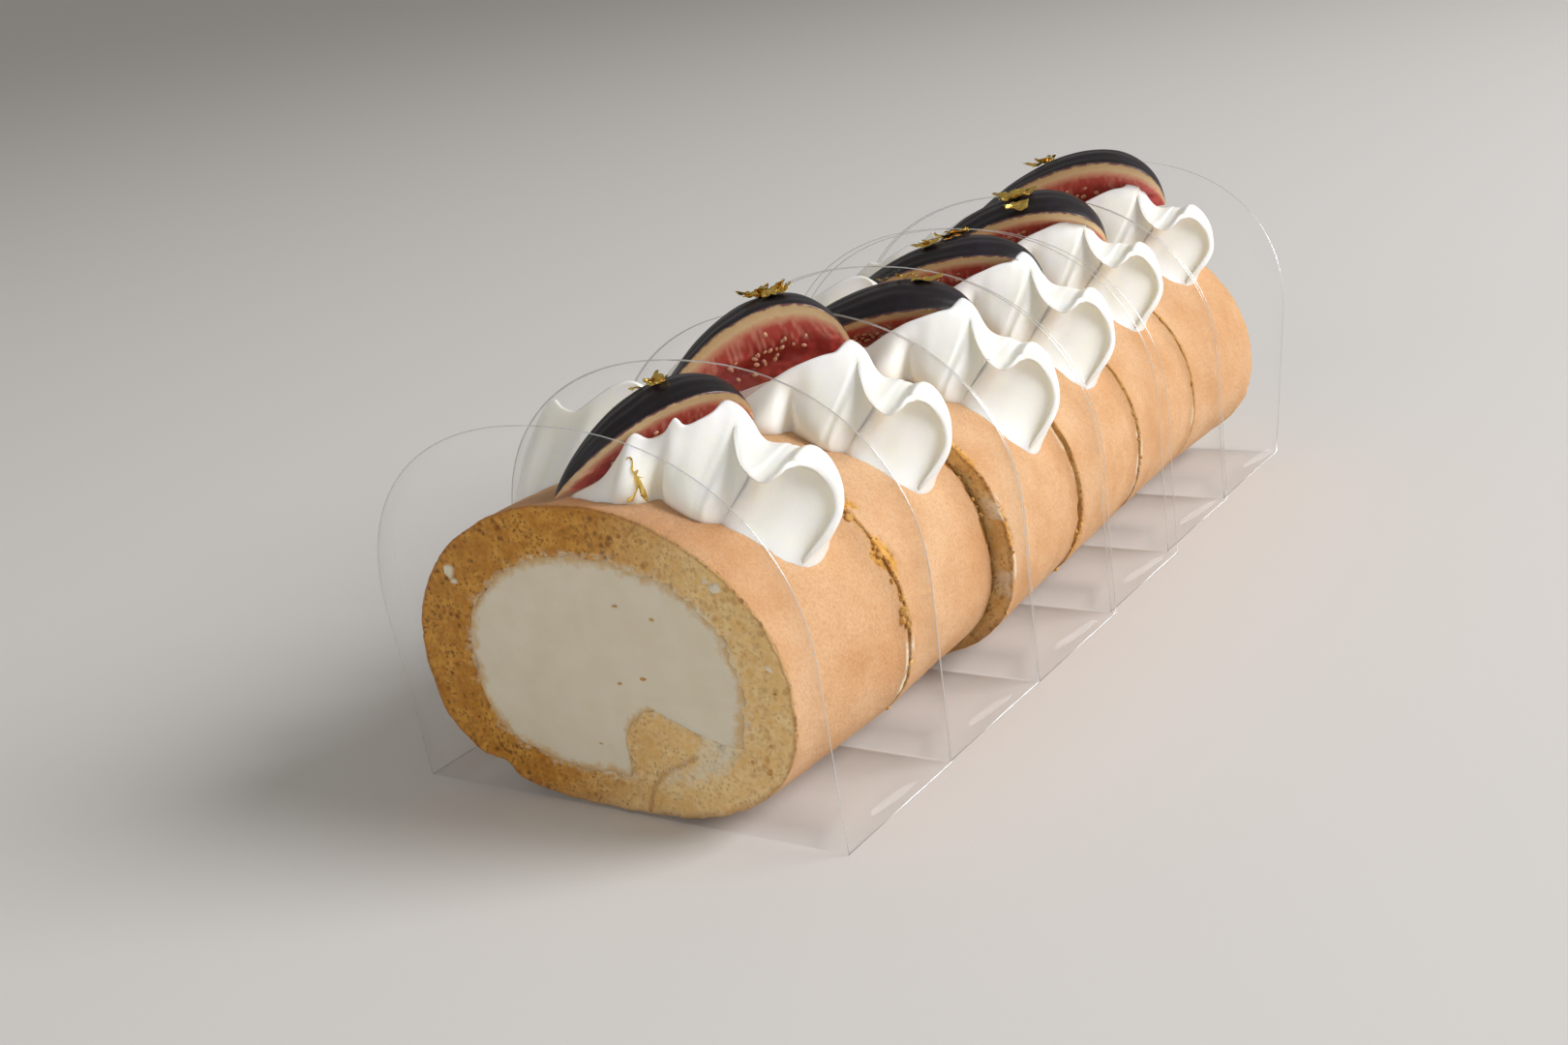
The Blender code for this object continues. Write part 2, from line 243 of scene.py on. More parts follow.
def makeStudio():
    paper = {"Base Color": linearColour(studio["floor"]), "Roughness": 0.85}
    material = newMaterial("matt paper floor", paper)[0]
    corners = np.array([(-1, -1, 0), (1, -1, 0), (1, 1, 0), (-1, 1, 0)]) * studio["floorSize"] / 2
    mesh = meshFromArrays("floor", corners, np.array([[0, 1, 2, 3]]), materials=(material,))
    floor = bpy.data.objects.new("floor", mesh)
    bpy.context.scene.collection.objects.link(floor)
    world = bpy.data.worlds.new("studio")
    world.use_nodes = True
    back = world.node_tree.nodes["Background"]
    back.inputs[0].default_value = studio["worldColour"]
    back.inputs[1].default_value = studio["world"]
    bpy.context.scene.world = world
    for key in ("key", "fill"):
        values = studio[key]
        light = bpy.data.lights.new(key, "AREA")
        light.shape = "DISK"
        light.size = values["size"]
        light.energy = values["power"]
        light.color = linearColour(values["colour"])[:3]
        lamp = bpy.data.objects.new(key, light)
        aim = Vector(studio["aim"]) - Vector(values["place"])
        turn = aim.to_track_quat("-Z", "Y").to_matrix().to_4x4()
        lamp.matrix_world = Matrix.Translation(values["place"]) @ turn
        bpy.context.scene.collection.objects.link(lamp)
    scene = bpy.context.scene
    scene.view_settings.view_transform = "Standard"
    scene.cycles.transparent_max_bounces = 64   # many clear films stand behind one another


makeCamera()
makeStudio()
print("camera and studio made")


# ---- outlines read from the frame

rollShape = {
    "middle": 27.0, "squareness": 2.5,             # mm, and the exponent of the lower half
    "tuckAngle": 218.0, "tuckDepth": 0.055, "tuckWidth": 5.0,
    "fillHalfWidth": 31.2, "fillTop": 50.0, "fillBottom": 7.6, "fillMiddle": 28.5,
    "fillCentre": 1.2, "fillSquareness": 2.9, "fillArch": 2.1,
    "curlFrom": -84.0, "curlTo": -21.0, "curlEase": 10.0, "curlReach": 10.8, "curlRound": 3.0,
}


def readSlices():
    # each slice's front and back cut: y, middle x, and the roll's half-width and top, in mm
    slices = []
    for index in range(sliceCount):
        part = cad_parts[f"sponge_{index + 1}"]
        points = np.zeros(len(part.data.vertices) * 3, dtype=np.float32)
        part.data.vertices.foreach_get("co", points)
        points = points.reshape(-1, 3) / mm
        ends = []
        for y in (points[:, 1].min(), points[:, 1].max()):
            x = points[np.abs(points[:, 1] - y) < 0.01, 0]
            ends.append((y, (x.min() + x.max()) / 2, (x.max() - x.min()) / 2))
        low = points[:, 2].min()
        slices.append({"front": ends[0][0], "back": ends[1][0], "frontX": ends[0][1],
                       "backX": ends[1][1], "halfWidth": ends[0][2],
                       "low": low, "height": points[:, 2].max() - low})
    return slices


slices = readSlices()


def sliceDepth(index):
    return slices[index]["back"] - slices[index]["front"]


def outlineRadius(angle, halfWidth, halfHeight, exponent):
    # superellipse: (|cos|/a)^n + (|sin|/b)^n to the power -1/n
    c, s = np.abs(np.cos(angle)), np.abs(np.sin(angle))
    return ((c / halfWidth) ** exponent + (s / halfHeight) ** exponent) ** (-1 / exponent)


def rollOutline(angle, outward=0.0):
    # ellipse above the widest place, squarer below, drawn in where the outer end is tucked under
    shape, one = rollShape, slices[0]
    upper = outlineRadius(angle, one["halfWidth"] + outward, one["height"] - shape["middle"] + outward, 2.0)
    lower = outlineRadius(angle, one["halfWidth"] + outward, shape["middle"] + outward, shape["squareness"])
    radius = np.where(np.sin(angle) >= 0, upper, lower)
    away = (np.degrees(angle) % 360 - shape["tuckAngle"]) / shape["tuckWidth"]
    radius = radius * (1 - shape["tuckDepth"] * np.exp(-away ** 2))
    return radius * np.cos(angle), radius * np.sin(angle) + shape["middle"]


def fillingRadius(angle):
    # the filling's plain outline: an arch above its widest place, squarer below
    shape = rollShape
    upper = outlineRadius(angle, shape["fillHalfWidth"], shape["fillTop"] - shape["fillMiddle"],
                          shape["fillArch"])
    lower = outlineRadius(angle, shape["fillHalfWidth"], shape["fillMiddle"] - shape["fillBottom"],
                          shape["fillSquareness"])
    return np.where(np.sin(angle) >= 0, upper, lower)


def fillingOutline(angle, inset=0.0):
    # the plain outline, with a dip inward round the curled inner end of the sponge
    shape = rollShape
    radius = fillingRadius(angle)
    signed = np.degrees(np.arctan2(np.sin(angle), np.cos(angle)))
    inside = ease((signed - shape["curlFrom"]) / shape["curlEase"])
    inside = inside * ease((shape["curlTo"] - signed) / shape["curlEase"])
    half = (shape["curlTo"] - shape["curlFrom"]) / 2
    away = np.clip((signed - shape["curlFrom"]) / half - 1, -1, 1)
    radius = radius + inside * (shape["curlReach"] + shape["curlRound"] * away ** 2 - radius) - inset
    return radius * np.cos(angle) + shape["fillCentre"], radius * np.sin(angle) + shape["fillMiddle"]


def surfaceHeight(x):
    # height of the roll's top over its base at a sideways place
    share = np.clip(np.abs(x) / slices[0]["halfWidth"], 0, 0.995)
    return rollShape["middle"] + np.sqrt(1 - share ** 2) * (slices[0]["height"] - rollShape["middle"])


def slicePlace(index, x, y, z):
    # from a slice's own millimetres (middle of its front cut, on its base) to metres in the frame
    one = slices[index]
    share = np.asarray(y) / (one["back"] - one["front"])
    shift = one["frontX"] + (one["backX"] - one["frontX"]) * share
    return np.stack(np.broadcast_arrays(x + shift, y + one["front"], z + one["low"]), -1) * mm


def sliceGrid(index, points):
    return slicePlace(index, points[..., 0], points[..., 1], points[..., 2])


# ---- materials

def spongeMaterial():
    # genoise sponge, baked in a sheet: matt fine-pored tan skin outside, open golden crumb where cut
    material, tree, shader = newMaterial("baked genoise sponge", {
        "Roughness": 0.82, "Specular IOR Level": 0.25, "Subsurface Weight": 0.12,
        "Subsurface Radius": (1.0, 0.5, 0.2), "Subsurface Scale": 0.0015})
    where = addNode(tree, "ShaderNodeTexCoord").outputs["Object"]
    made = {}
    # attributes: crumb, cream edge, brown lines with painted shade, cream seams, and crumb painted paler
    # (painted light)
    for name in ("crumb", "edge", "brown", "seam", "pale"):
        made[name] = addNode(tree, "ShaderNodeAttribute", attribute_name=name).outputs["Fac"]
    # soft noises: size in mm, detail, roughness
    for name, size, detail, roughness in (
            ("oven", 15, 4.0, 0.55), ("pin", 0.6, 3.0, 0.55), ("cloud", 3, 6.0, 0.65),
            ("largeAreas", 5, 3.0, 0.55), ("smallAreas", 3, 3.0, 0.55), ("drag", 1.8, 5.0, 0.7),
            ("fineGrain", 0.5, 4.0, 0.65), ("coarseGrain", 1.6, 3.0, 0.55)):
        texture = addNode(tree, "ShaderNodeTexNoise", {"Vector": where, "Scale": 1 / (size * mm),
                                                       "Detail": detail, "Roughness": roughness})
        made[name] = texture.outputs["Fac"]
    # pores: distance from the middle of a cell about 1.7 mm or 0.8 mm wide
    for name, size in (("largeCells", 1.7), ("smallCells", 0.8)):
        texture = addNode(tree, "ShaderNodeTexVoronoi", {"Vector": where, "Scale": 1 / (size * mm)})
        made[name] = texture.outputs["Distance"]
    # in order: a sum is its kind and two values; a spread is a value, the range it comes from and
    # the range it goes to
    for name, *row in (
            ("mottle", "oven", 0.35, 0.65, 0.0, 1.0), ("pinPores", "pin", 0.36, 0.58, 0.30, 0.0),
            ("cloudy", "cloud", 0.35, 0.65, 0.0, 1.0),
            # pores come and go, and are deepest at the middle of a cell
            ("largeDeep", "largeCells", 0.14, 0.42, 1.0, 0.0),
            ("largeThere", "largeAreas", 0.42, 0.58, 0.0, 1.0),
            ("smallDeep", "smallCells", 0.12, 0.45, 0.8, 0.0),
            ("smallThere", "smallAreas", 0.38, 0.55, 0.0, 1.0),
            ("large", "MULTIPLY", "largeDeep", "largeThere"),
            ("small", "MULTIPLY", "smallDeep", "smallThere"), ("pores", "MAXIMUM", "large", "small"),
            # painted shade in the crumb's pores: darkest at the middle of a cell, weaker where the crumb is
            # painted paler
            ("poreShadeStrength", "pale", 0.0, 1.0, 0.9, 0.5), ("poreShare", "MULTIPLY", "pores", "poreShadeStrength"),
            # cream pressed into the crumb beside the filling breaks up over the first 2 mm
            ("dragOffset", "SUBTRACT", "drag", 0.5), ("broken", "MULTIPLY", "dragOffset", 11.0),
            ("brokenEdge", "ADD", "edge", "broken"), ("smear", "brokenEdge", -1.6, 1.6, 0.8, 0.0),
            ("smearOnCrumb", "MULTIPLY", "smear", "crumb"), ("cream", "MAXIMUM", "smearOnCrumb", "seam"),
            # relief: two grains, less the pores
            ("fine", "MULTIPLY", "fineGrain", 0.7), ("coarse", "MULTIPLY", "coarseGrain", 0.5),
            ("grain", "ADD", "fine", "coarse"), ("cutPores", "MULTIPLY", "pores", "crumb"),
            ("poreDepth", "MULTIPLY", "cutPores", 1.5), ("height", "SUBTRACT", "grain", "poreDepth")):
        if len(row) == 3:
            values = {0: made[row[1]], 1: made.get(row[2], row[2])}
            node = addNode(tree, "ShaderNodeMath", values, operation=row[0])
        else:
            ranges = dict(zip(("From Min", "From Max", "To Min", "To Max"), row[1:]))
            node = addNode(tree, "ShaderNodeMapRange", {"Value": made[row[0]], **ranges})
        made[name] = node.outputs[0]
    # colours: share, then what it mixes
    for name, share, *sides in (
            # skin: faint oven mottling, and pin pores
            ("skin", "mottle", "#cb9a6c", "#d8b087"), ("pored skin", "pinPores", "skin", "#b27a48"),
            # crumb: golden walls, painted paler where light falls (painted light), and painted darker in the
            # pores (painted shade)
            ("golden", "cloudy", "#bc7c22", "#e0a444"), ("light", "cloudy", "#efc47c", "#fbdca2"),
            ("walls", "pale", "golden", "light"), ("poreColour", "pale", "#7c4a15", "#cd9656"),
            ("pored walls", "poreShare", "walls", "poreColour"),
            # brown: the skin's real brown lines, plus painted shade along the top of the front cut
            ("bare", "crumb", "pored skin", "pored walls"), ("browned", "brown", "bare", "#9a5f33"),
            ("body", "cream", "browned", "#efe5cd")):
        first, second = (linearColour(side) if side[0] == "#" else made[side] for side in sides)
        mix = addNode(tree, "ShaderNodeMix", {"Factor": made[share], "A": first, "B": second},
                      data_type="RGBA")
        made[name] = mix.outputs["Result"]
    bump = addNode(tree, "ShaderNodeBump", {"Height": made["height"], "Strength": 0.6, "Distance": 0.0005})
    tree.links.new(made["body"], shader.inputs["Base Color"])
    tree.links.new(bump.outputs["Normal"], shader.inputs["Normal"])
    return material


def creamMaterial(name, colour, roughness, mottleColour):
    # whipped dairy cream: white with a warm cast where light passes through its thin lips
    material, tree, shader = newMaterial(name, {
        "Roughness": roughness, "Subsurface Weight": 0.45, "Subsurface Radius": (1.0, 0.85, 0.5),
        "Subsurface Scale": 0.0030})
    where = addNode(tree, "ShaderNodeTexCoord").outputs["Object"]
    mottle = addNode(tree, "ShaderNodeTexNoise", {"Vector": where, "Scale": 1 / (6 * mm), "Detail": 3.0})
    share = addNode(tree, "ShaderNodeMapRange", {"Value": mottle.outputs["Fac"], "From Min": 0.35,
                                                 "From Max": 0.7})
    tint = addNode(tree, "ShaderNodeMix", {"Factor": share.outputs[0], "A": linearColour(colour),
                                           "B": linearColour(mottleColour)}, data_type="RGBA")
    # where a cut filling meets the sponge, patches of crumb are dragged 3 mm into the cream
    rim = addNode(tree, "ShaderNodeAttribute", attribute_name="rim").outputs["Fac"]
    patch = addNode(tree, "ShaderNodeTexNoise", {"Vector": where, "Scale": 1 / (1.9 * mm), "Detail": 5.0,
                                                 "Roughness": 0.65}).outputs["Fac"]
    reach = addNode(tree, "ShaderNodeMath", {0: patch, 1: 1.6, 2: rim}, operation="MULTIPLY_ADD").outputs[0]
    dragged = addNode(tree, "ShaderNodeMapRange", {"Value": reach, "From Min": 1.32, "From Max": 1.8,
                                                   "To Max": 0.75}).outputs[0]
    body = addNode(tree, "ShaderNodeMix", {"Factor": dragged, "A": tint.outputs["Result"],
                                           "B": linearColour("#d6a85e")}, data_type="RGBA")
    tree.links.new(body.outputs["Result"], shader.inputs["Base Color"])
    fine = addNode(tree, "ShaderNodeTexNoise", {"Vector": where, "Scale": 1 / (1.2 * mm), "Detail": 4.0})
    bump = addNode(tree, "ShaderNodeBump", {"Height": fine.outputs["Fac"], "Strength": 0.12,
                                             "Distance": 0.0003})
    tree.links.new(bump.outputs["Normal"], shader.inputs["Normal"])
    return material


def figMaterial():
    # fresh fig: smooth dark purple skin with a bloom, moist pulp with radial fibres where cut
    material, tree, shader = newMaterial("fresh fig", {
        "Specular IOR Level": 0.35, "Subsurface Weight": 0.15, "Subsurface Radius": (1.0, 0.3, 0.2),
        "Subsurface Scale": 0.0015, "Coat Weight": 0.1, "Coat Roughness": 0.12})
    where = addNode(tree, "ShaderNodeTexCoord").outputs["Object"]
    depth, skin, fibre = (addNode(tree, "ShaderNodeAttribute", attribute_name=name).outputs["Fac"]
                          for name in ("depth", "skin", "fibre"))
    bloom = addNode(tree, "ShaderNodeTexNoise", {"Vector": where, "Scale": 1 / (7 * mm), "Detail": 6.0,
                                                 "Roughness": 0.6})
    ripple = addNode(tree, "ShaderNodeTexNoise", {"Vector": where, "Scale": 1 / (1.6 * mm), "Detail": 4.0})
    ripple = ripple.outputs["Fac"]
    wobble = addNode(tree, "ShaderNodeMath", {0: ripple, 1: -0.5}, operation="ADD").outputs[0]
    rings = addNode(tree, "ShaderNodeMath", {0: wobble, 1: 0.10, 2: depth}, operation="MULTIPLY_ADD")
    # two ramps: bloom over the skin, and rings from the skin's edge inward
    tints = []
    for source, stops in (
            (bloom.outputs["Fac"], ((0.32, "#0c0709"), (0.5, "#140c12"), (0.75, "#231b2c"))),
            (rings.outputs[0], ((0.0, "#6f4a4c"), (0.035, "#d3b98a"), (0.15, "#e0c79d"), (0.23, "#d99f80"),
                                (0.33, "#bf544b"), (0.6, "#ac3a37"), (0.8, "#9c302d"), (1.0, "#a8443d")))):
        tint = addNode(tree, "ShaderNodeValToRGB", {"Fac": source})
        ends = tint.color_ramp.elements
        ends[0].position, ends[0].color = stops[0][0], linearColour(stops[0][1])
        ends[1].position, ends[1].color = stops[-1][0], linearColour(stops[-1][1])
        for position, colour in stops[1:-1]:
            ends.new(position).color = linearColour(colour)
        tints.append(tint.outputs["Color"])
    skinTint, flesh = tints
    flesh = addNode(tree, "ShaderNodeMix", {"Factor": fibre, "A": flesh, "B": linearColour("#dd9a86")},
                    data_type="RGBA").outputs["Result"]
    body = addNode(tree, "ShaderNodeMix", {"Factor": skin, "A": flesh, "B": skinTint}, data_type="RGBA")
    bump = addNode(tree, "ShaderNodeBump", {"Height": ripple, "Strength": 0.25, "Distance": 0.0004})
    rough = addNode(tree, "ShaderNodeMapRange", {"Value": skin, "To Min": 0.22, "To Max": 0.44})
    tree.links.new(body.outputs["Result"], shader.inputs["Base Color"])
    tree.links.new(bump.outputs["Normal"], shader.inputs["Normal"])
    tree.links.new(rough.outputs[0], shader.inputs["Roughness"])
    return material


def seedMaterial():
    # fig seeds: pale yellow, wet
    material, tree, shader = newMaterial("fig seed", {"Roughness": 0.2})
    where = addNode(tree, "ShaderNodeTexCoord").outputs["Object"]
    mottle = addNode(tree, "ShaderNodeTexNoise", {"Vector": where, "Scale": 1 / (3 * mm)})
    tint = addNode(tree, "ShaderNodeMix", {"Factor": mottle.outputs["Fac"], "A": linearColour("#e0b48c"),
                                           "B": linearColour("#bd7560")}, data_type="RGBA")
    tree.links.new(tint.outputs["Result"], shader.inputs["Base Color"])
    return material


def goldMaterial():
    # beaten gold leaf: real metal, crumpled and shiny
    material, tree, shader = newMaterial("gold leaf", {
        "Base Color": linearColour("#e9c567"), "Metallic": 1.0, "Roughness": 0.28})
    where = addNode(tree, "ShaderNodeTexCoord").outputs["Object"]
    crease = addNode(tree, "ShaderNodeTexNoise", {"Vector": where, "Scale": 1 / (0.8 * mm), "Detail": 3.0})
    bump = addNode(tree, "ShaderNodeBump", {"Height": crease.outputs["Fac"], "Strength": 0.7,
                                            "Distance": 0.0005})
    tree.links.new(bump.outputs["Normal"], shader.inputs["Normal"])
    return material


def filmMaterial(name, least, most, roughness):
    # clear polyester film: see-through, with a mirror-like gloss that grows at grazing angles
    material, tree, shader = newMaterial(name, {
        "Base Color": linearColour("#f6f8f8"), "Metallic": 1.0, "Roughness": roughness})
    facing = addNode(tree, "ShaderNodeLayerWeight", {"Blend": 0.5}).outputs["Facing"]
    gloss = addNode(tree, "ShaderNodeMath", {0: facing, 1: 3.5}, operation="POWER")
    share = addNode(tree, "ShaderNodeMapRange", {"Value": gloss.outputs[0], "To Min": least,
                                                 "To Max": most})
    clear = addNode(tree, "ShaderNodeBsdfTransparent")
    mixed = addNode(tree, "ShaderNodeMixShader", {0: share.outputs[0], 1: clear.outputs[0],
                                                  2: shader.outputs[0]})
    output = next(node for node in tree.nodes if node.type == "OUTPUT_MATERIAL")
    tree.links.new(mixed.outputs[0], output.inputs["Surface"])
    return material


sponge = spongeMaterial()
fillingCream = creamMaterial("whipped filling cream", "#e9dfc8", 0.5, "#e4d9bf")
pipedCream = creamMaterial("piped whipped cream", "#fefef5", 0.32, "#fcfbec")
fig = figMaterial()
seed = seedMaterial()
gold = goldMaterial()
film = filmMaterial("clear polyester film", 0.006, 0.22, 0.03)
filmEdge = filmMaterial("polyester film edge", 0.45, 0.6, 0.3)
print("materials made")


# ---- sponge

spongeLook = {
    "holeDepth": 0.9, "holeSizes": (2.2, 1.3, 0.8), "holeStrengths": (0.55, 0.5, 0.35),    # mm
    "skinWave": 0.22, "skinWaveSize": 16.0, "fineWave": 0.10, "fineWaveSize": 4.0,
    "pitDepth": 0.10, "pitSize": 0.9,
    "edgeRound": 0.30, "edgeSink": 0.06, "chipDepth": 0.24, "chipSize": 3.0,
    "faceWave": 0.22, "faceWaveSize": 5.0,
    "sheet": 11.0,                                     # thickness of the sponge sheet
    "ragged": 0.8, "raggedSize": 2.6,
    "tornDepth": 0.4, "tornSize": 4.5, "dabRaise": 0.35,
    "line": 0.9, "lineVaries": 0.6,                    # width of the cream lines at the cuts
    # crumb painted paler where light falls (painted light): how much it leans towards the foot, where it
    # starts (mm left of the middle) and over how far it grows; then the least at the far end, and the share
    # painted paler inside, against the shade between slices
    "litLean": 0.35, "litFrom": 8, "litOver": 34, "litRear": 0.4, "litInside": 0.55,
    "skinLine": 0.55, "rim": 0.45,                     # widths of the brown lines on a cut
    # painted shade along the top of the front cut, with some real browning: how far back it reaches and the
    # height it starts at (mm), and its strength
    "topShadeReach": 9.0, "topShadeFrom": 46.0, "topShadeStrength": 0.45,
    "reach": 0.28,                                     # each cut stands this much nearer its neighbour
    "fineGrid": (760, 46, 56), "plainGrid": (440, 9, 52),
}

# inner end of the sheet, in mm on a cut
curledEnd = {
    "skin": ((20.0, 13.5), (15.5, 11.0), (12.0, 9.0), (9.0, 6.0), (7.0, 1.2)),  # brown skin, edge-on
    "lump": (12.6, 15.6, 9.6, 6.2),       # middle x, z and half-widths of its rounded end
    "stem": (4.0, 13.0, 15.0),            # left, right and top of the part it grows from
}

# slice, which cut, lowest and highest z in mm, strength
creamAtCuts = ((0, "back", 8, 27, 1.0), (1, "front", 9, 25, 0.7), (2, "front", 14, 40, 0.7),
               (2, "back", 30, 44, 0.5), (3, "back", 10, 30, 0.9), (4, "back", 12, 26, 0.8),
               (4, "front", 14, 28, 0.5))


def distanceToPath(x, z, path):
    # nearest distance from each grid point to a line of straight stretches
    best = np.full(np.shape(x), 1e9)
    for (ax, az), (bx, bz) in zip(path[:-1], path[1:]):
        dx, dz = bx - ax, bz - az
        t = np.clip(((x - ax) * dx + (z - az) * dz) / (dx * dx + dz * dz), 0, 1)
        best = np.minimum(best, np.hypot(x - ax - t * dx, z - az - t * dz))
    return best


def crumbDepth(x, z):
    # how deep in the crumb a place on a cut lies, in mm, and below zero in cream; it is crumb
    # outside the filling's plain outline, in the curled end (an ellipse), and in its stem
    across, up = x - rollShape["fillCentre"], z - rollShape["fillMiddle"]
    plain = np.hypot(across, up) - fillingRadius(np.arctan2(up, across))
    middleX, middleZ, halfWidth, halfHeight = curledEnd["lump"]
    lump = (1 - np.hypot((x - middleX) / halfWidth, (z - middleZ) / halfHeight)) * halfHeight
    left, right, top = curledEnd["stem"]
    stem = np.minimum(np.minimum(x - left, right - x), top - z)
    return np.maximum(np.maximum(lump, stem), plain)


def raggedEdge(angle, index):
    # uneven line where the crumb meets the cream
    ring = np.stack((np.cos(angle) * 28, np.sin(angle) * 28, np.full(np.shape(angle), 7.0 * index)), -1)
    return spongeLook["ragged"] * layeredNoise(ring, spongeLook["raggedSize"] * 2, 5, 3)


def fromCut(end, share, depth):
    return (share if end == "front" else 1 - share) * depth


def between(z, low, high, soft):
    return ease((z - low) / soft) * ease((high - z) / soft)


def creamLines(index, x, y, z, share, out, depth):
    # cream squeezed out at a cut, low on the right side, where creamAtCuts has it
    look = spongeLook
    total = np.zeros(x.shape)
    for number, end, low, high, strength in creamAtCuts:
        if number == index:
            along = between(z, low, high, 3) * (x > 0)
            spot = np.stack((x * 0.3, y, z), -1)
            width = look["line"] + look["lineVaries"] * layeredNoise(spot, 5.0, 57, 3)
            total = total + strength * along * ease((width - fromCut(end, share, depth)) / 0.25)
    # on the cut itself it only clings in patches near the skin
    onFace = (share == 0) | (share == 1)
    patches = ease(2.2 * layeredNoise(np.stack((x, y, z), -1), 3.5, 58, 3)) * ease((out - 0.55) / 0.3)
    return np.clip(total * np.where(onFace, patches, 1), 0, 1)


# slice, which cut, lowest and highest z, how wide the skin is torn away (mm)
tornAtCuts = ((0, "back", 34, 66, 1.8), (1, "front", 34, 67, 2.8), (1, "back", 22, 64, 1.2),
              (2, "front", 12, 60, 1.5), (2, "back", 12, 34, 1.3), (3, "front", 10, 30, 1.4))

# dabs of cream on the front cut: x, z and size in mm
creamDabs = ((-32.4, 44.9, 1.2), (30.7, 47.2, 1.4), (39.3, 33.1, 0.8), (29.0, 48.6, 0.8), (-31.2, 43.0, 0.7))


def tornSkin(index, world, share, depth):
    # skin pulled off in patches beside a cut on the right side, showing the crumb under it
    total = np.zeros(share.shape)
    for number, end, low, high, width in tornAtCuts:
        if number == index:
            along = between(world[..., 2], low, high, 4) * (world[..., 0] > 0)
            reach = width * (0.35 + 1.5 * layeredNoise(world, spongeLook["tornSize"], 61, 3))
            total = np.maximum(total, along * ease((reach - fromCut(end, share, depth)) / 0.5))
    return total


def crumbPaintedLight(index, x, z, share):
    # painted light: on the two outer cuts the crumb is painted paler towards the right and the foot, where
    # light falls from the side and from below; on the inner ones it is painted half pale all over, against
    # the shade between slices
    outer = (share == 0) if index == 0 else (share == 1) if index == sliceCount - 1 else share < 0
    look = spongeLook
    side = ease((x + look["litLean"] * (35 - z) + look["litFrom"]) / look["litOver"])
    return np.where(outer, np.maximum(side, look["litRear"] if index else 0.0), look["litInside"])


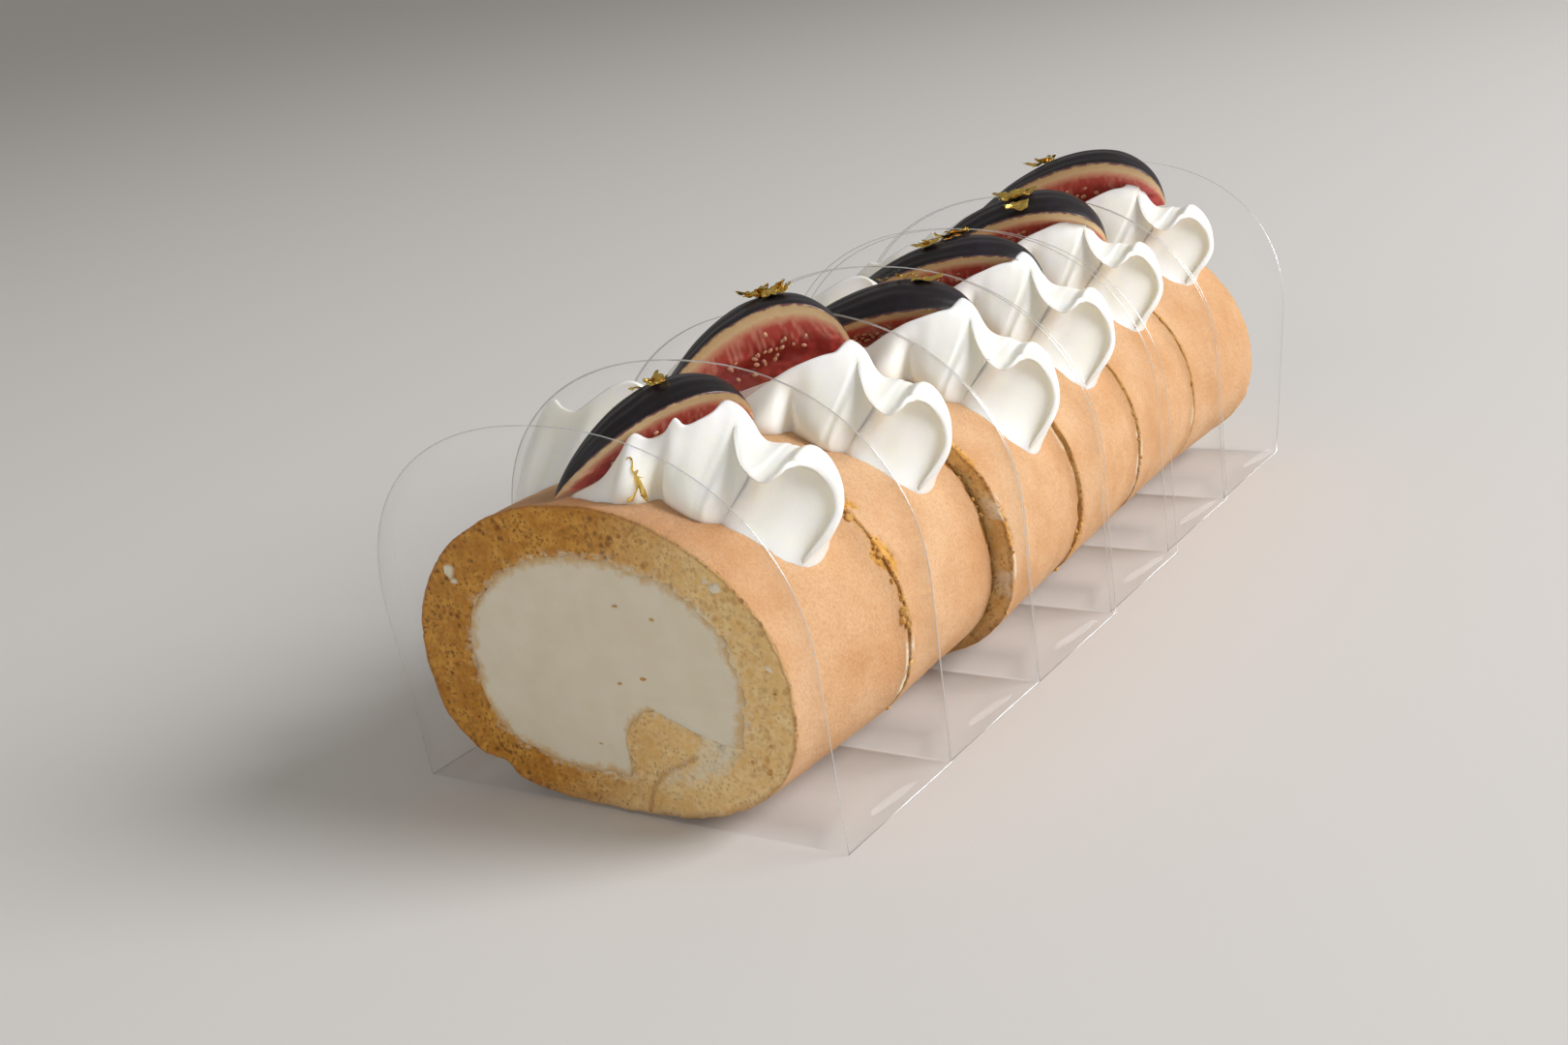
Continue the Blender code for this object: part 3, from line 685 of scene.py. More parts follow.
def makeSponge(index):
    # a closed ring: the angle runs round the roll, and the profile runs out over the front cut,
    # back along the skin, in over the back cut and forward along the inside
    look = spongeLook
    fineFront = index == 0
    fineBack = index == sliceCount - 1
    around, fineFace, skinSteps = look["fineGrid"] if fineFront or fineBack else look["plainGrid"]
    frontSteps = fineFace if fineFront or not fineBack else look["plainGrid"][1]
    backSteps = fineFace if fineBack or not fineFront else look["plainGrid"][1]
    angle = fullTurn(around)
    outShare = np.concatenate((np.linspace(0, 1, frontSteps), np.ones(skinSteps - 1),
                               np.linspace(1, 0, backSteps)[1:], np.zeros(3)))
    depthShare = np.concatenate((np.zeros(frontSteps), np.linspace(0, 1, skinSteps)[1:],
                                 np.ones(backSteps - 1), np.linspace(1, 0, 5)[1:-1]))
    depth = sliceDepth(index)
    a, r = np.meshgrid(angle, outShare, indexing="ij")
    _, d = np.meshgrid(angle, depthShare, indexing="ij")
    innerX, innerZ = fillingOutline(a, -raggedEdge(a, index) * 0.5)
    outerX, outerZ = rollOutline(a)
    x = innerX + (outerX - innerX) * r
    z = innerZ + (outerZ - innerZ) * r
    y = d * depth
    world = np.stack((x, y + slices[index]["front"], z), -1)
    onFace = ((d == 0) | (d == 1)).astype(float)
    onSkin = ((r == 1) & (d > 0) & (d < 1)).astype(float)
    # holes: the high parts of three noises of falling size
    holes = sum(np.clip(softNoise(world, size, 11 + i) * 1.3 - 0.15, 0, 1) * strength
                for i, (size, strength) in enumerate(zip(look["holeSizes"], look["holeStrengths"])))
    holes = np.clip(holes, 0, 1)
    fromSkin = (1 - r) * look["sheet"]
    crust = ease(fromSkin / 1.1)                        # the last millimetre under the skin is denser
    sink = onFace * look["holeDepth"] * holes * (0.25 + 0.75 * crust)
    lift = onFace * look["faceWave"] * layeredNoise(world, look["faceWaveSize"], 31, 3)
    y = y + np.where(d < 0.5, 1, -1) * (sink + lift) - np.where(d < 0.5, 1, -1) * onFace * look["reach"]
    # skin: broad waves, small pits, and an edge that is rounded and chipped beside each cut
    tangentX, tangentZ = np.gradient(outerX[:, 0]), np.gradient(outerZ[:, 0])
    length = np.hypot(tangentX, tangentZ)
    normalX, normalZ = (tangentZ / length)[:, None], (-tangentX / length)[:, None]
    edgeDistance = np.minimum(d, 1 - d) * depth
    nearEdge = np.exp(-edgeDistance / look["edgeRound"]) * (r > 0.9)
    wave = look["skinWave"] * softNoise(world, look["skinWaveSize"], 3)
    wave = wave + look["fineWave"] * softNoise(world, look["fineWaveSize"], 4)
    pit = np.clip(softNoise(world, look["pitSize"], 8) - 0.25, 0, 1)
    chip = np.clip(layeredNoise(world, look["chipSize"], 9, 3), -0.3, 1)
    outward = wave - onSkin * look["pitDepth"] * pit * 2
    outward = outward - nearEdge * (look["edgeSink"] + look["chipDepth"] * chip)
    torn = tornSkin(index, world, d, depth) * (r > 0.99)
    outward = (outward - look["tornDepth"] * torn) * ease((r - 0.6) / 0.4)
    x = x + outward * normalX
    z = np.maximum(z + outward * normalZ, 0.0)
    skinLine = np.exp(-(distanceToPath(x, z, curledEnd["skin"]) / look["skinLine"]) ** 2) * onFace
    crumb = np.clip(np.maximum(onFace + nearEdge * 0.5 * (chip > 0.15), torn), 0, 1)
    rim = onFace * np.exp(-(fromSkin / look["rim"]) ** 2) * 0.5
    seam = creamLines(index, x, y, z, d, r, depth)
    topShade = 0
    if index == 0:
        rough = 0.5 * layeredNoise(world, 1.4, 59, 2)
        for dabX, dabZ, size in creamDabs:
            dab = ease((size - np.hypot(x - dabX, z - dabZ) + rough) / 0.4) * (d == 0)
            seam = np.maximum(seam, dab)
            y = y - look["dabRaise"] * dab
        # painted shade: the skin is painted darker and browner along the top of the front cut, where the
        # topping and the angle keep light off it, with some real browning
        topShade = onSkin * np.exp(-d * depth / look["topShadeReach"]) * ease((z - look["topShadeFrom"]) / 14)
        topShade = topShade * look["topShadeStrength"]
    attributes = {"crumb": crumb, "edge": crumbDepth(x, z), "seam": seam,
                  # brown: the skin's edge and the line under it, plus painted shade along the top of the
                  # front cut
                  "brown": np.clip(skinLine * 0.45 + rim + topShade, 0, 1),
                  # pale: crumb painted paler where light falls (painted light); torn patches get their own
                  # golden crumb
                  "pale": crumbPaintedLight(index, x, z, d) * (1 - torn) + 0.15 * torn}
    points = slicePlace(index, x, y, z)
    quads = gridFaces(points.shape[0], points.shape[1], True, True)
    piece = closedPiece(f"spongeSlice{index + 1}", points, quads, None, (sponge,), attributes)
    settle(piece, "sponge", f"sponge_{index + 1}")


for index in range(sliceCount):
    makeSponge(index)
print("sponge slices made")


# ---- cream filling

fillingLook = {
    "around": 320, "faceRings": 46,
    "knifeDepth": 0.12, "proud": 0.02, "tuck": 0.5,    # mm
    "knifeStop": 23.2, "stopDepth": 0.11,              # height of the low step, and half its depth
    "rimWidth": 3.2,
}


def makeFilling(index):
    # front face from its middle outward, a dip into the crumb round its edge, and the same behind
    look = fillingLook
    depth = sliceDepth(index)
    angle = fullTurn(look["around"])
    rings = np.linspace(0, 1, look["faceRings"]) ** 0.9
    share = np.concatenate((rings, rings[::-1]))
    behind = np.concatenate((np.zeros(len(rings)), np.ones(len(rings))))
    s, a = np.meshgrid(share, angle, indexing="ij")
    b, _ = np.meshgrid(behind, angle, indexing="ij")
    edgeX, edgeZ = fillingOutline(a, -raggedEdge(a, index) * 0.5 - 0.7)
    centreX, centreZ = rollShape["fillCentre"], rollShape["fillMiddle"]
    x = centreX + (edgeX - centreX) * s
    z = centreZ + (edgeZ - centreZ) * s
    spot = np.stack((x * 0.35 + z * 0.05, z * 1.6 + x * 0.45, np.full(x.shape, 3.0 * index) + b * 9), -1)
    knife = look["knifeDepth"] * softNoise(spot, 4.5, 41) + 0.05 * softNoise(spot, 1.3, 42)
    if index == 0:
        # the knife stopped once on its way down the front cut, and left a low step
        step = look["stopDepth"] * np.tanh((z - look["knifeStop"] - 0.03 * x) / 0.4)
        knife = knife + np.where(b == 0, step, 0)
    radius = np.hypot(edgeX - centreX, edgeZ - centreZ)
    dip = look["tuck"] * ease((s * radius - radius + 0.8) / 0.8)
    fromFace = knife - look["proud"] + dip - spongeLook["reach"]
    y = np.where(b == 0, fromFace, depth - fromFace)
    points = slicePlace(index, x, y, z)
    allPoints, quads, fans = polesFor(points)
    # nearness to the crumb: 1 at the edge, falling to 0 over about 4 mm
    near = np.clip(1.25 + (s * radius - radius) / look["rimWidth"], 0, 1)
    piece = closedPiece(f"creamFilling{index + 1}", allPoints, quads, fans, (fillingCream,),
                        {"rim": polesOf(near)})
    settle(piece, "filling_cream", f"filling_{index + 1}")


for index in range(sliceCount):
    makeFilling(index)
print("fillings made")


# ---- piped cream

ruffleLook = {
    "rows": 200, "dollopRows": 110, "flankSteps": 30, "underSteps": 5,
    "sink": 0.8, "lip": 0.38,                          # mm
    "soften": 260, "softTo": 0.40,                     # rounds of smoothing, and how far along
    "waver": 0.12, "waverSize": 5.0,
}

# stations from one end of the piped ribbon to the other, in mm on the slice: crest x, y, z;
# way the fin points at its crest x, y, z; front foot x, y; back foot x, y; then for the front
# wall its share of lean toward the back, its lift at the foot and its reach below the crest;
# and for the back wall its lift at the foot and its reach below the crest
ruffleStations = (
    (-1.9, 4.2, 60.2, 0.1, 0.4, 1.0, -2.2, 3.4, -1.4, 5.0, 0.1, 0.2, 0.3, 0.2, 0.3),
    (3.6, 5.8, 63.0, 0.1, 0.4, 1.0, 3.2, 2.6, 3.4, 9.0, 0.1, 0.8, 1.0, 0.8, 1.0),
    (7.2, 7.8, 67.0, 0.1, 0.4, 1.0, 6.4, 3.3, 6.8, 12.0, 0.1, 1.6, 2.5, 2.0, 2.0),
    (9.5, 9.7, 70.5, 0.0, 0.4, 1.0, 9.2, 4.6, 9.4, 15.0, -0.3, 3.4, 5.0, 2.5, 3.0),
    (11.7, 11.2, 69.2, 0.0, 0.4, 1.0, 11.8, 6.9, 11.6, 17.0, -0.3, 3.4, 5.0, 2.5, 3.0),
    (14.2, 12.6, 70.0, 0.0, 0.2, 1.0, 13.1, 9.4, 13.6, 18.6, 0.1, 2.6, 4.0, 2.5, 3.0),
    (16.1, 13.6, 72.4, 0.2, 0.0, 1.0, 15.2, 9.4, 15.4, 20.0, -0.3, 3.4, 5.0, 2.5, 3.5),
    (17.4, 14.6, 70.9, 0.0, 0.0, 1.0, 17.2, 9.0, 16.8, 21.4, -0.36, 4.0, 5.0, 3.0, 3.5),
    (19.1, 16.6, 71.4, -0.1, 0.0, 1.0, 19.1, 8.8, 18.0, 23.4, -0.36, 4.0, 5.0, 3.0, 3.5),
    (20.3, 19.3, 72.1, -0.4, -0.1, 1.0, 20.4, 8.8, 19.2, 25.2, -0.36, 4.0, 5.0, 3.0, 4.0),
    (20.7, 22.3, 73.3, -0.9, -0.5, 0.7, 21.2, 9.0, 20.6, 27.2, -0.36, 4.0, 5.0, 6.0, 4.0),
    (21.7, 23.2, 72.6, -1.0, -0.6, 0.5, 22.0, 9.3, 22.0, 28.4, -0.36, 4.0, 5.0, 8.0, 4.0),
    (23.0, 21.5, 70.2, -1.0, -0.4, 0.4, 22.8, 9.8, 23.2, 29.0, -0.36, 4.0, 5.0, 11.0, 4.2),
    (24.9, 18.5, 68.0, -0.9, -0.4, 0.5, 23.4, 10.4, 24.8, 29.2, -0.22, 3.4, 5.0, 15.0, 4.6),
    (27.3, 15.5, 65.6, -0.6, -0.7, 0.4, 24.0, 10.9, 26.6, 29.4, -0.05, 3.4, 3.4, 19.0, 5.2),
    (29.6, 13.8, 63.8, -0.3, -0.9, 0.2, 24.6, 11.3, 28.4, 29.4, 0.0, 3.6, 3.0, 22.0, 5.8),
    (32.0, 13.1, 62.5, 0.0, -1.0, 0.0, 25.4, 11.2, 29.8, 29.4, 0.0, 3.0, 3.0, 23.5, 6.4),
    (34.0, 13.1, 62.0, 0.2, -1.0, -0.1, 26.6, 11.0, 31.0, 29.4, 0.2, 3.4, 3.0, 24.0, 7.0),
    (35.6, 14.2, 62.8, 0.2, -1.0, -0.3, 28.0, 11.1, 32.0, 29.3, 0.45, 4.4, 3.5, 23.5, 7.4),
    (36.7, 16.2, 63.8, 0.1, -1.0, -0.45, 29.4, 11.4, 33.0, 29.0, 0.55, 5.0, 4.5, 22.0, 7.4),
    (37.6, 19.0, 63.3, 0.0, -1.0, -0.5, 30.6, 11.8, 33.8, 28.6, 0.55, 5.2, 5.0, 20.0, 7.0),
    (38.6, 21.6, 61.6, -0.2, -1.0, -0.45, 31.8, 12.2, 34.6, 28.0, 0.55, 5.0, 5.5, 17.0, 6.5),
    (39.5, 23.2, 59.0, -0.4, -1.0, -0.3, 32.9, 12.6, 35.2, 27.0, 0.55, 4.6, 5.5, 13.5, 6.0),
    (40.3, 23.5, 56.3, -0.6, -1.0, -0.1, 33.8, 13.1, 35.8, 26.0, 0.55, 4.0, 5.0, 9.5, 5.0),
    (40.8, 22.4, 53.6, -0.6, -0.9, 0.2, 34.6, 13.9, 36.2, 24.6, 0.5, 3.0, 4.0, 6.5, 4.0),
    (40.0, 20.4, 51.0, -0.4, -0.8, 0.5, 35.3, 15.0, 36.6, 22.8, 0.35, 1.6, 3.0, 4.0, 3.0),
    (38.3, 18.4, 48.4, -0.2, -0.7, 0.8, 35.9, 16.1, 36.8, 20.6, 0.2, 1.0, 1.5, 2.0, 1.5),
    (36.7, 17.2, 46.4, 0.0, -0.5, 1.0, 36.2, 16.8, 36.6, 18.0, 0.1, 0.2, 0.3, 0.3, 0.3),
)

dollopStations = (
    (-31.8, 21.0, 53.0, -0.3, 0.0, 1.0, -31.9, 20.6, -31.9, 21.6, 0.1, 0.2, 0.3, 0.2, 0.3),
    (-32.0, 22.6, 56.6, -0.6, 0.2, 1.0, -31.2, 18.4, -31.6, 25.4, 0.0, 2.5, 2.0, 2.5, 2.0),
    (-30.2, 24.6, 62.4, -0.6, 0.3, 1.0, -29.8, 16.4, -30.2, 29.0, 0.0, 3.5, 3.0, 4.0, 3.0),
    (-27.0, 26.2, 68.0, -0.4, 0.4, 1.0, -27.6, 15.0, -28.0, 31.6, 0.0, 4.0, 4.0, 4.5, 3.5),
    (-23.6, 26.4, 70.6, 0.2, 0.3, 1.0, -24.8, 14.6, -25.4, 31.8, 0.1, 4.0, 4.0, 4.0, 3.5),
    (-20.6, 25.2, 69.6, 0.1, 0.0, 1.0, -21.8, 15.6, -22.6, 29.8, 0.2, 3.0, 4.0, 3.0, 3.5),
    (-17.0, 24.6, 69.2, 0.0, 0.0, 1.0, -18.4, 15.0, -19.6, 30.6, 0.1, 3.0, 4.0, 3.0, 3.5),
    (-13.4, 26.0, 71.2, -0.1, 0.2, 1.0, -15.0, 15.6, -16.0, 32.8, 0.0, 3.6, 4.5, 4.5, 4.0),
    (-10.0, 28.2, 73.2, -0.5, 0.0, 1.0, -11.6, 17.6, -12.0, 33.8, 0.1, 3.4, 4.5, 5.0, 4.5),
    (-7.0, 29.8, 74.0, -0.8, -0.4, 0.8, -8.6, 19.8, -8.4, 34.2, 0.1, 3.0, 4.5, 6.0, 4.5),
    (-4.6, 30.0, 72.8, -1.0, -0.6, 0.4, -5.8, 22.0, -5.0, 34.2, 0.1, 3.0, 4.0, 8.0, 4.5),
    (-3.0, 28.6, 69.8, -0.9, -0.6, 0.3, -3.8, 23.8, -2.2, 34.0, 0.1, 2.6, 3.0, 9.0, 4.5),
    (-1.6, 28.0, 66.6, -0.5, -0.7, 0.5, -2.0, 25.2, -0.4, 33.2, 0.1, 2.0, 2.0, 6.0, 3.5),
    (0.4, 28.6, 63.6, 0.0, -0.4, 1.0, 0.2, 27.0, 1.0, 31.4, 0.1, 1.0, 1.0, 2.0, 1.0),
    (1.6, 29.2, 61.6, 0.0, -0.2, 1.0, 1.6, 28.8, 1.9, 29.8, 0.1, 0.2, 0.3, 0.2, 0.3),
)


def cubic(start, low, high, end, steps):
    # Bezier: (1-t)^3 a + 3 (1-t)^2 t b + 3 (1-t) t^2 c + t^3 d, one curve for each row
    t = np.linspace(0, 1, steps + 1)[None, :, None]
    start, low, high, end = (v[:, None] for v in (start, low, high, end))
    return (1 - t) ** 3 * start + 3 * (1 - t) ** 2 * t * low + 3 * (1 - t) * t * t * high + t ** 3 * end


def unit(vectors):
    return vectors / (np.linalg.norm(vectors, axis=-1, keepdims=True) + 1e-9)


def makePiped(name, node, stations, rows, index, shift, seedNumber):
    # section of each station: front foot, up the front wall, round the lip, down the back wall,
    # and underneath along the roll
    look = ruffleLook
    table = splineRows(stations, rows)
    if index > 0:                       # later ruffles have a rounder first lobe than the first one
        soft = table.copy()
        for _ in range(look["soften"]):
            soft[1:-1, 0:3] = (soft[:-2, 0:3] + soft[2:, 0:3]) / 2
        share = ease((look["softTo"] - np.linspace(0, 1, rows)) / 0.08)[:, None]
        table[:, 0:3] += share * (soft[:, 0:3] - table[:, 0:3])
    vary = np.linspace(0, 7, rows)
    stray = np.stack([softNoise(np.stack((vary, vary * 0 + seedNumber, vary * 0 + k), -1), 1.6, 90)
                      for k in range(5)], -1) * np.sin(np.pi * np.linspace(0, 1, rows))[:, None]
    amount = 0.0 if index == 0 else 1.0
    table[:, 0:3] += amount * stray[:, 0:3] * (1.0, 1.3, 0.8)
    table[:, 6:8] += amount * stray[:, 3:5] * (0.5, 0.8)
    table[:, [0, 6, 8]] += shift[0]
    drop = surfaceHeight(table[:, 6]) - surfaceHeight(table[:, 6] - shift[0])
    crest = np.stack((table[:, 0], table[:, 1], table[:, 2] + drop), -1)
    point = unit(table[:, 3:6])
    front = np.stack((table[:, 6], table[:, 7], surfaceHeight(table[:, 6]) - look["sink"]), -1)
    back = np.stack((table[:, 8], table[:, 9], surfaceHeight(table[:, 8]) - look["sink"]), -1)
    lean, frontLift, frontReach, backLift, backReach = (table[:, k:k + 1] for k in range(10, 15))
    inward = front - back
    inward = unit(inward - point * np.sum(inward * point, -1, keepdims=True))
    outDirection = unit(np.stack((front[:, 0] * 0.35, front[:, 0] * 0, front[:, 2]), -1))
    lowFront = front + (back - front) * lean + outDirection * frontLift
    highFront = crest - point * frontReach + inward * (look["lip"] + 0.22 * frontReach)
    lowBack = back + outDirection * backLift
    highBack = crest - point * backReach - inward * look["lip"]
    up = cubic(front, lowFront, highFront, crest + inward * look["lip"], look["flankSteps"])
    down = cubic(back, lowBack, highBack, crest - inward * look["lip"], look["flankSteps"])[:, ::-1]
    lipArc = (crest + point * look["lip"])[:, None]
    under = np.linspace(0, 1, look["underSteps"] + 1)[None, 1:-1, None]
    under = back[:, None] + (front - back)[:, None] * under
    loop = np.concatenate((up, lipArc, down, under), axis=1)
    # the ends close on the middle of their own section
    first, last = loop[:1].mean(1, keepdims=True), loop[-1:].mean(1, keepdims=True)
    loop = np.concatenate((np.repeat(first, loop.shape[1], 1), loop, np.repeat(last, loop.shape[1], 1)))
    loop[..., 1] += shift[1]
    waver = np.stack([softNoise(loop + 50 * i, look["waverSize"], 60 + i + 7 * index)
                      for i in range(3)], -1)
    loop = loop + look["waver"] * waver
    points = sliceGrid(index, loop)
    allPoints, quads, fans = polesFor(points)
    piece = closedPiece(f"{name}{index + 1}", allPoints, quads, fans, (pipedCream,))
    settle(piece, "piped_cream", f"{node}_{index + 1}")


def toppingShift(index):
    # how far this slice's ruffle was piped from where the first slice has it, in mm
    first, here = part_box("ruffle_1")[0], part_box(f"ruffle_{index + 1}")[0]
    setback = (here[1] - first[1]) / mm - (slices[index]["front"] - slices[0]["front"])
    middle = [(one["frontX"] + one["backX"]) / 2 for one in (slices[0], slices[index])]
    slide = (here[0] - first[0]) / mm - (middle[1] - middle[0])
    return slide, setback


for index in range(sliceCount):
    shift = toppingShift(index)
    makePiped("creamRuffle", "ruffle", ruffleStations, ruffleLook["rows"], index, shift, index)
    makePiped("creamDollop", "dollop", dollopStations, ruffleLook["dollopRows"], index, shift, index + 20)
print("cream piped")


# ---- figs

figLook = {
    "length": 44.0, "radius": 16.5, "sector": 58.0,    # mm and degrees
    "rows": 120, "faceSteps": 40, "skinSteps": 30,
    "stem": 0.82, "eye": 0.44,                         # exponents of the outline at its two ends
    "ribHeight": 0.12, "ribs": 26, "pulpHeight": 0.65, "pulpSize": 2.2, "hollowDepth": 1.2,    # mm
    # seeds: how many, share along the core and out from it (middle, spread), half-width in mm
    "seedsPerFace": 27, "seedsAlong": (0.58, 0.14), "seedsOut": (0.42, 0.14), "seedSize": (0.36, 0.58),
    # left tip x, y, z on the slice; turn, climb and roll in degrees; size; plumpness
    "places": (
        (-3.9, 1.6, 60.6, 55, 8.9, -7.0, 0.88, 0.90),
        (-14.9, 7.1, 61.3, 37, 10.2, 10.0, 0.99, 0.99),
        (-18.0, 12.1, 61.5, 28, 1.5, -19.5, 1.11, 0.72),
        (-21.0, 12.5, 62.4, 24, 0.5, -8.0, 1.15, 0.74),
        (-19.4, 13.9, 62.2, 24, 2.0, -10.3, 1.11, 0.87),
        (-23.6, 11.2, 63.4, 23, 3.4, 0.4, 1.20, 0.85),
    ),
}


def figMove(index):
    x, y, z, turn, climb, roll, size, plump = figLook["places"][index]
    turned = Matrix.Rotation(math.radians(turn), 3, "Z") @ Matrix.Rotation(math.radians(-climb), 3, "Y")
    turned = turned @ Matrix.Rotation(math.radians(-roll), 3, "X")
    return np.array(turned) * size * (1, plump, plump), np.array((x, y, z))


def figRadius(s):
    # outline of the fruit along its core: s^stem (1-s)^eye over its peak, so drawn out towards
    # the stem and blunt at the eye
    s, stem, eye = np.clip(s, 0, 1), figLook["stem"], figLook["eye"]
    peak = stem / (stem + eye)
    return figLook["radius"] * (s ** stem * (1 - s) ** eye) / (peak ** stem * (1 - peak) ** eye)


def moveFig(index, local):
    turned, place = figMove(index)
    return sliceGrid(index, local @ turned.T + place)


def makeFig(index):
    # rows along the core; each section runs from the core up the front cut, over the skin and back
    look = figLook
    s = (1 - np.cos(np.linspace(0, np.pi, look["rows"]))) / 2
    half = math.radians(look["sector"]) / 2
    up = np.linspace(0, 1, look["faceSteps"])
    arc = np.linspace(-half, half, look["skinSteps"])[1:-1]
    share = np.concatenate((up, np.ones(len(arc)), up[::-1][:-1]))
    angle = np.concatenate((np.full(len(up), -half), arc, np.full(len(up) - 1, half)))
    isSkin = np.concatenate((np.zeros(len(up)), np.ones(len(arc)), np.zeros(len(up) - 1)))
    core, share = np.meshgrid(s, share, indexing="ij")
    _, angle = np.meshgrid(s, angle, indexing="ij")
    _, isSkin = np.meshgrid(s, isSkin, indexing="ij")
    radius = figRadius(core)
    along = core * look["length"]
    spot = np.stack((along, radius * share, angle * 9 + 40 * index), -1)
    # skin: shallow ribs along the fruit; cut: pulp stands up in soft lumps, cut skin edge is crisp
    ribs = look["ribHeight"] * np.sin(angle * look["ribs"] + 1.5 * softNoise(spot, 9.0, 71))
    ribs = ribs * isSkin * np.sin(np.pi * core)
    inPulp = (1 - isSkin) * ease((0.72 - share) / 0.3)
    pulp = inPulp * (look["pulpHeight"] * layeredNoise(spot, look["pulpSize"], 73, 3))
    pulp = pulp * np.minimum(radius / 6, 1)
    hollow = (1 - isSkin) * np.exp(-((share - 0.3) / 0.12) ** 2 - ((core - 0.6) / 0.2) ** 2)
    hollow = hollow * look["hollowDepth"]
    reach = radius * share + ribs + 0.25 * isSkin * softNoise(spot, 6.0, 72)
    offset = pulp - hollow
    y = reach * np.sin(angle) + np.sign(angle) * offset * math.cos(half) * (1 - isSkin)
    z = reach * np.cos(angle) + offset * math.sin(half) * (1 - isSkin) * 0.3
    local = np.stack((along, y, z), -1)
    depth = (1 - share) * np.clip(radius / 14, 0.25, 1.2)
    # fibres run from the ring inward, so they follow the row rather than the section
    lines = np.stack((along * 1.9 + (share - 0.6) * (core - 0.5) * 22, share * 2.2, angle * 0 + index), -1)
    fibre = np.clip(softNoise(lines, 0.9, 75) * 1.5, 0, 1)
    fibre = fibre * ease((share - 0.38) / 0.12) * ease((0.84 - share) / 0.15)
    attributes = {"depth": depth, "skin": isSkin, "fibre": fibre * (1 - isSkin) * 0.75}
    points = moveFig(index, local)
    allPoints, quads, fans = polesFor(points)
    trimmed = {key: polesOf(values) for key, values in attributes.items()}
    piece = closedPiece(f"figWedge{index + 1}", allPoints, quads, fans, (fig,), trimmed)
    settle(piece, "fig", f"fig_{index + 1}")


def ballGrid(around, rings):
    # unit ball: ring height cos and width sin of the polar angle
    polar = np.linspace(0, np.pi, rings)
    turn = fullTurn(around)
    polar, turn = np.meshgrid(polar, turn, indexing="ij")
    return np.stack((np.sin(polar) * np.cos(turn), np.sin(polar) * np.sin(turn), np.cos(polar)), -1)


def joinCopies(shapes):
    # shapes: copies x rows x cols x 3, each a closed grid with poles
    points, quads, fans = [], [], []
    start = 0
    for shape in shapes:
        p, q, f = polesFor(shape)
        if signedVolume(p, q, f) < 0:
            q, f = q[:, ::-1], f[:, ::-1]
        points.append(p)
        quads.append(q + start)
        fans.append(f + start)
        start += len(p)
    return np.vstack(points), np.vstack(quads), np.vstack(fans)


def makeSeeds():
    # small pips half sunk in the pulp of both cut faces, thickest round the hollow
    look = figLook
    rng = np.random.default_rng(7)
    half = math.radians(look["sector"]) / 2
    ball = ballGrid(7, 6)
    shapes = []
    for index in range(sliceCount):
        for side in (-1, 1):
            outDirection = np.array((0, math.cos(half) * side, -math.sin(half)))
            upDirection = np.array((0, math.sin(half) * side, math.cos(half)))
            for _ in range(look["seedsPerFace"]):
                s = np.clip(rng.normal(*look["seedsAlong"]), 0.2, 0.88)
                share = np.clip(rng.normal(*look["seedsOut"]), 0.12, 0.66)
                turn = rng.uniform(0, np.pi)
                size = rng.uniform(*look["seedSize"])
                radius = figRadius(s) * share
                base = np.array((s * look["length"], 0, 0)) + radius * upDirection
                flat = ball * np.array((size * 1.25, size * 0.85, size * 0.7))
                along = flat[..., :1] * np.cos(turn) - flat[..., 1:2] * np.sin(turn)
                rise = flat[..., :1] * np.sin(turn) + flat[..., 1:2] * np.cos(turn)
                shape = base + along * np.array((1, 0, 0)) + rise * upDirection
                shapes.append(moveFig(index, shape + (flat[..., 2:] + 0.1) * outDirection))
    points, quads, fans = joinCopies(shapes)
    piece = closedPiece("figSeeds", points, quads, fans, (seed,))
    settle(piece, "fig")


for index in range(sliceCount):
    makeFig(index)
makeSeeds()
print("figs made")


# ---- gold leaf

goldLook = {
    "thickness": 0.05, "grid": (30, 10),
    # on each fig: share along it, turn over the skin in degrees, size in mm, number of flakes
    "spots": ((0.62, 8, 6.0, 6), (0.70, 0, 6.6, 8), (0.70, 20, 5.0, 5), (0.54, 16, 6.4, 8),
              (0.58, -4, 6.6, 8), (0.47, 16, 5.2, 5)),
    # one flake on the front of the first ruffle: x, y, z and size in mm
    "onCream": ((11.7, 6.6, 64.4), (2.1, 2.9)),
}


def leafSheet(top, bottom):
    # two crumpled grids as one closed sheet, each gathered to a point at its middle
    middles = [side[:1].mean(1, keepdims=True).repeat(side.shape[1], 1) for side in (top, bottom)]
    return np.concatenate((middles[0], top, bottom[::-1], middles[1]))


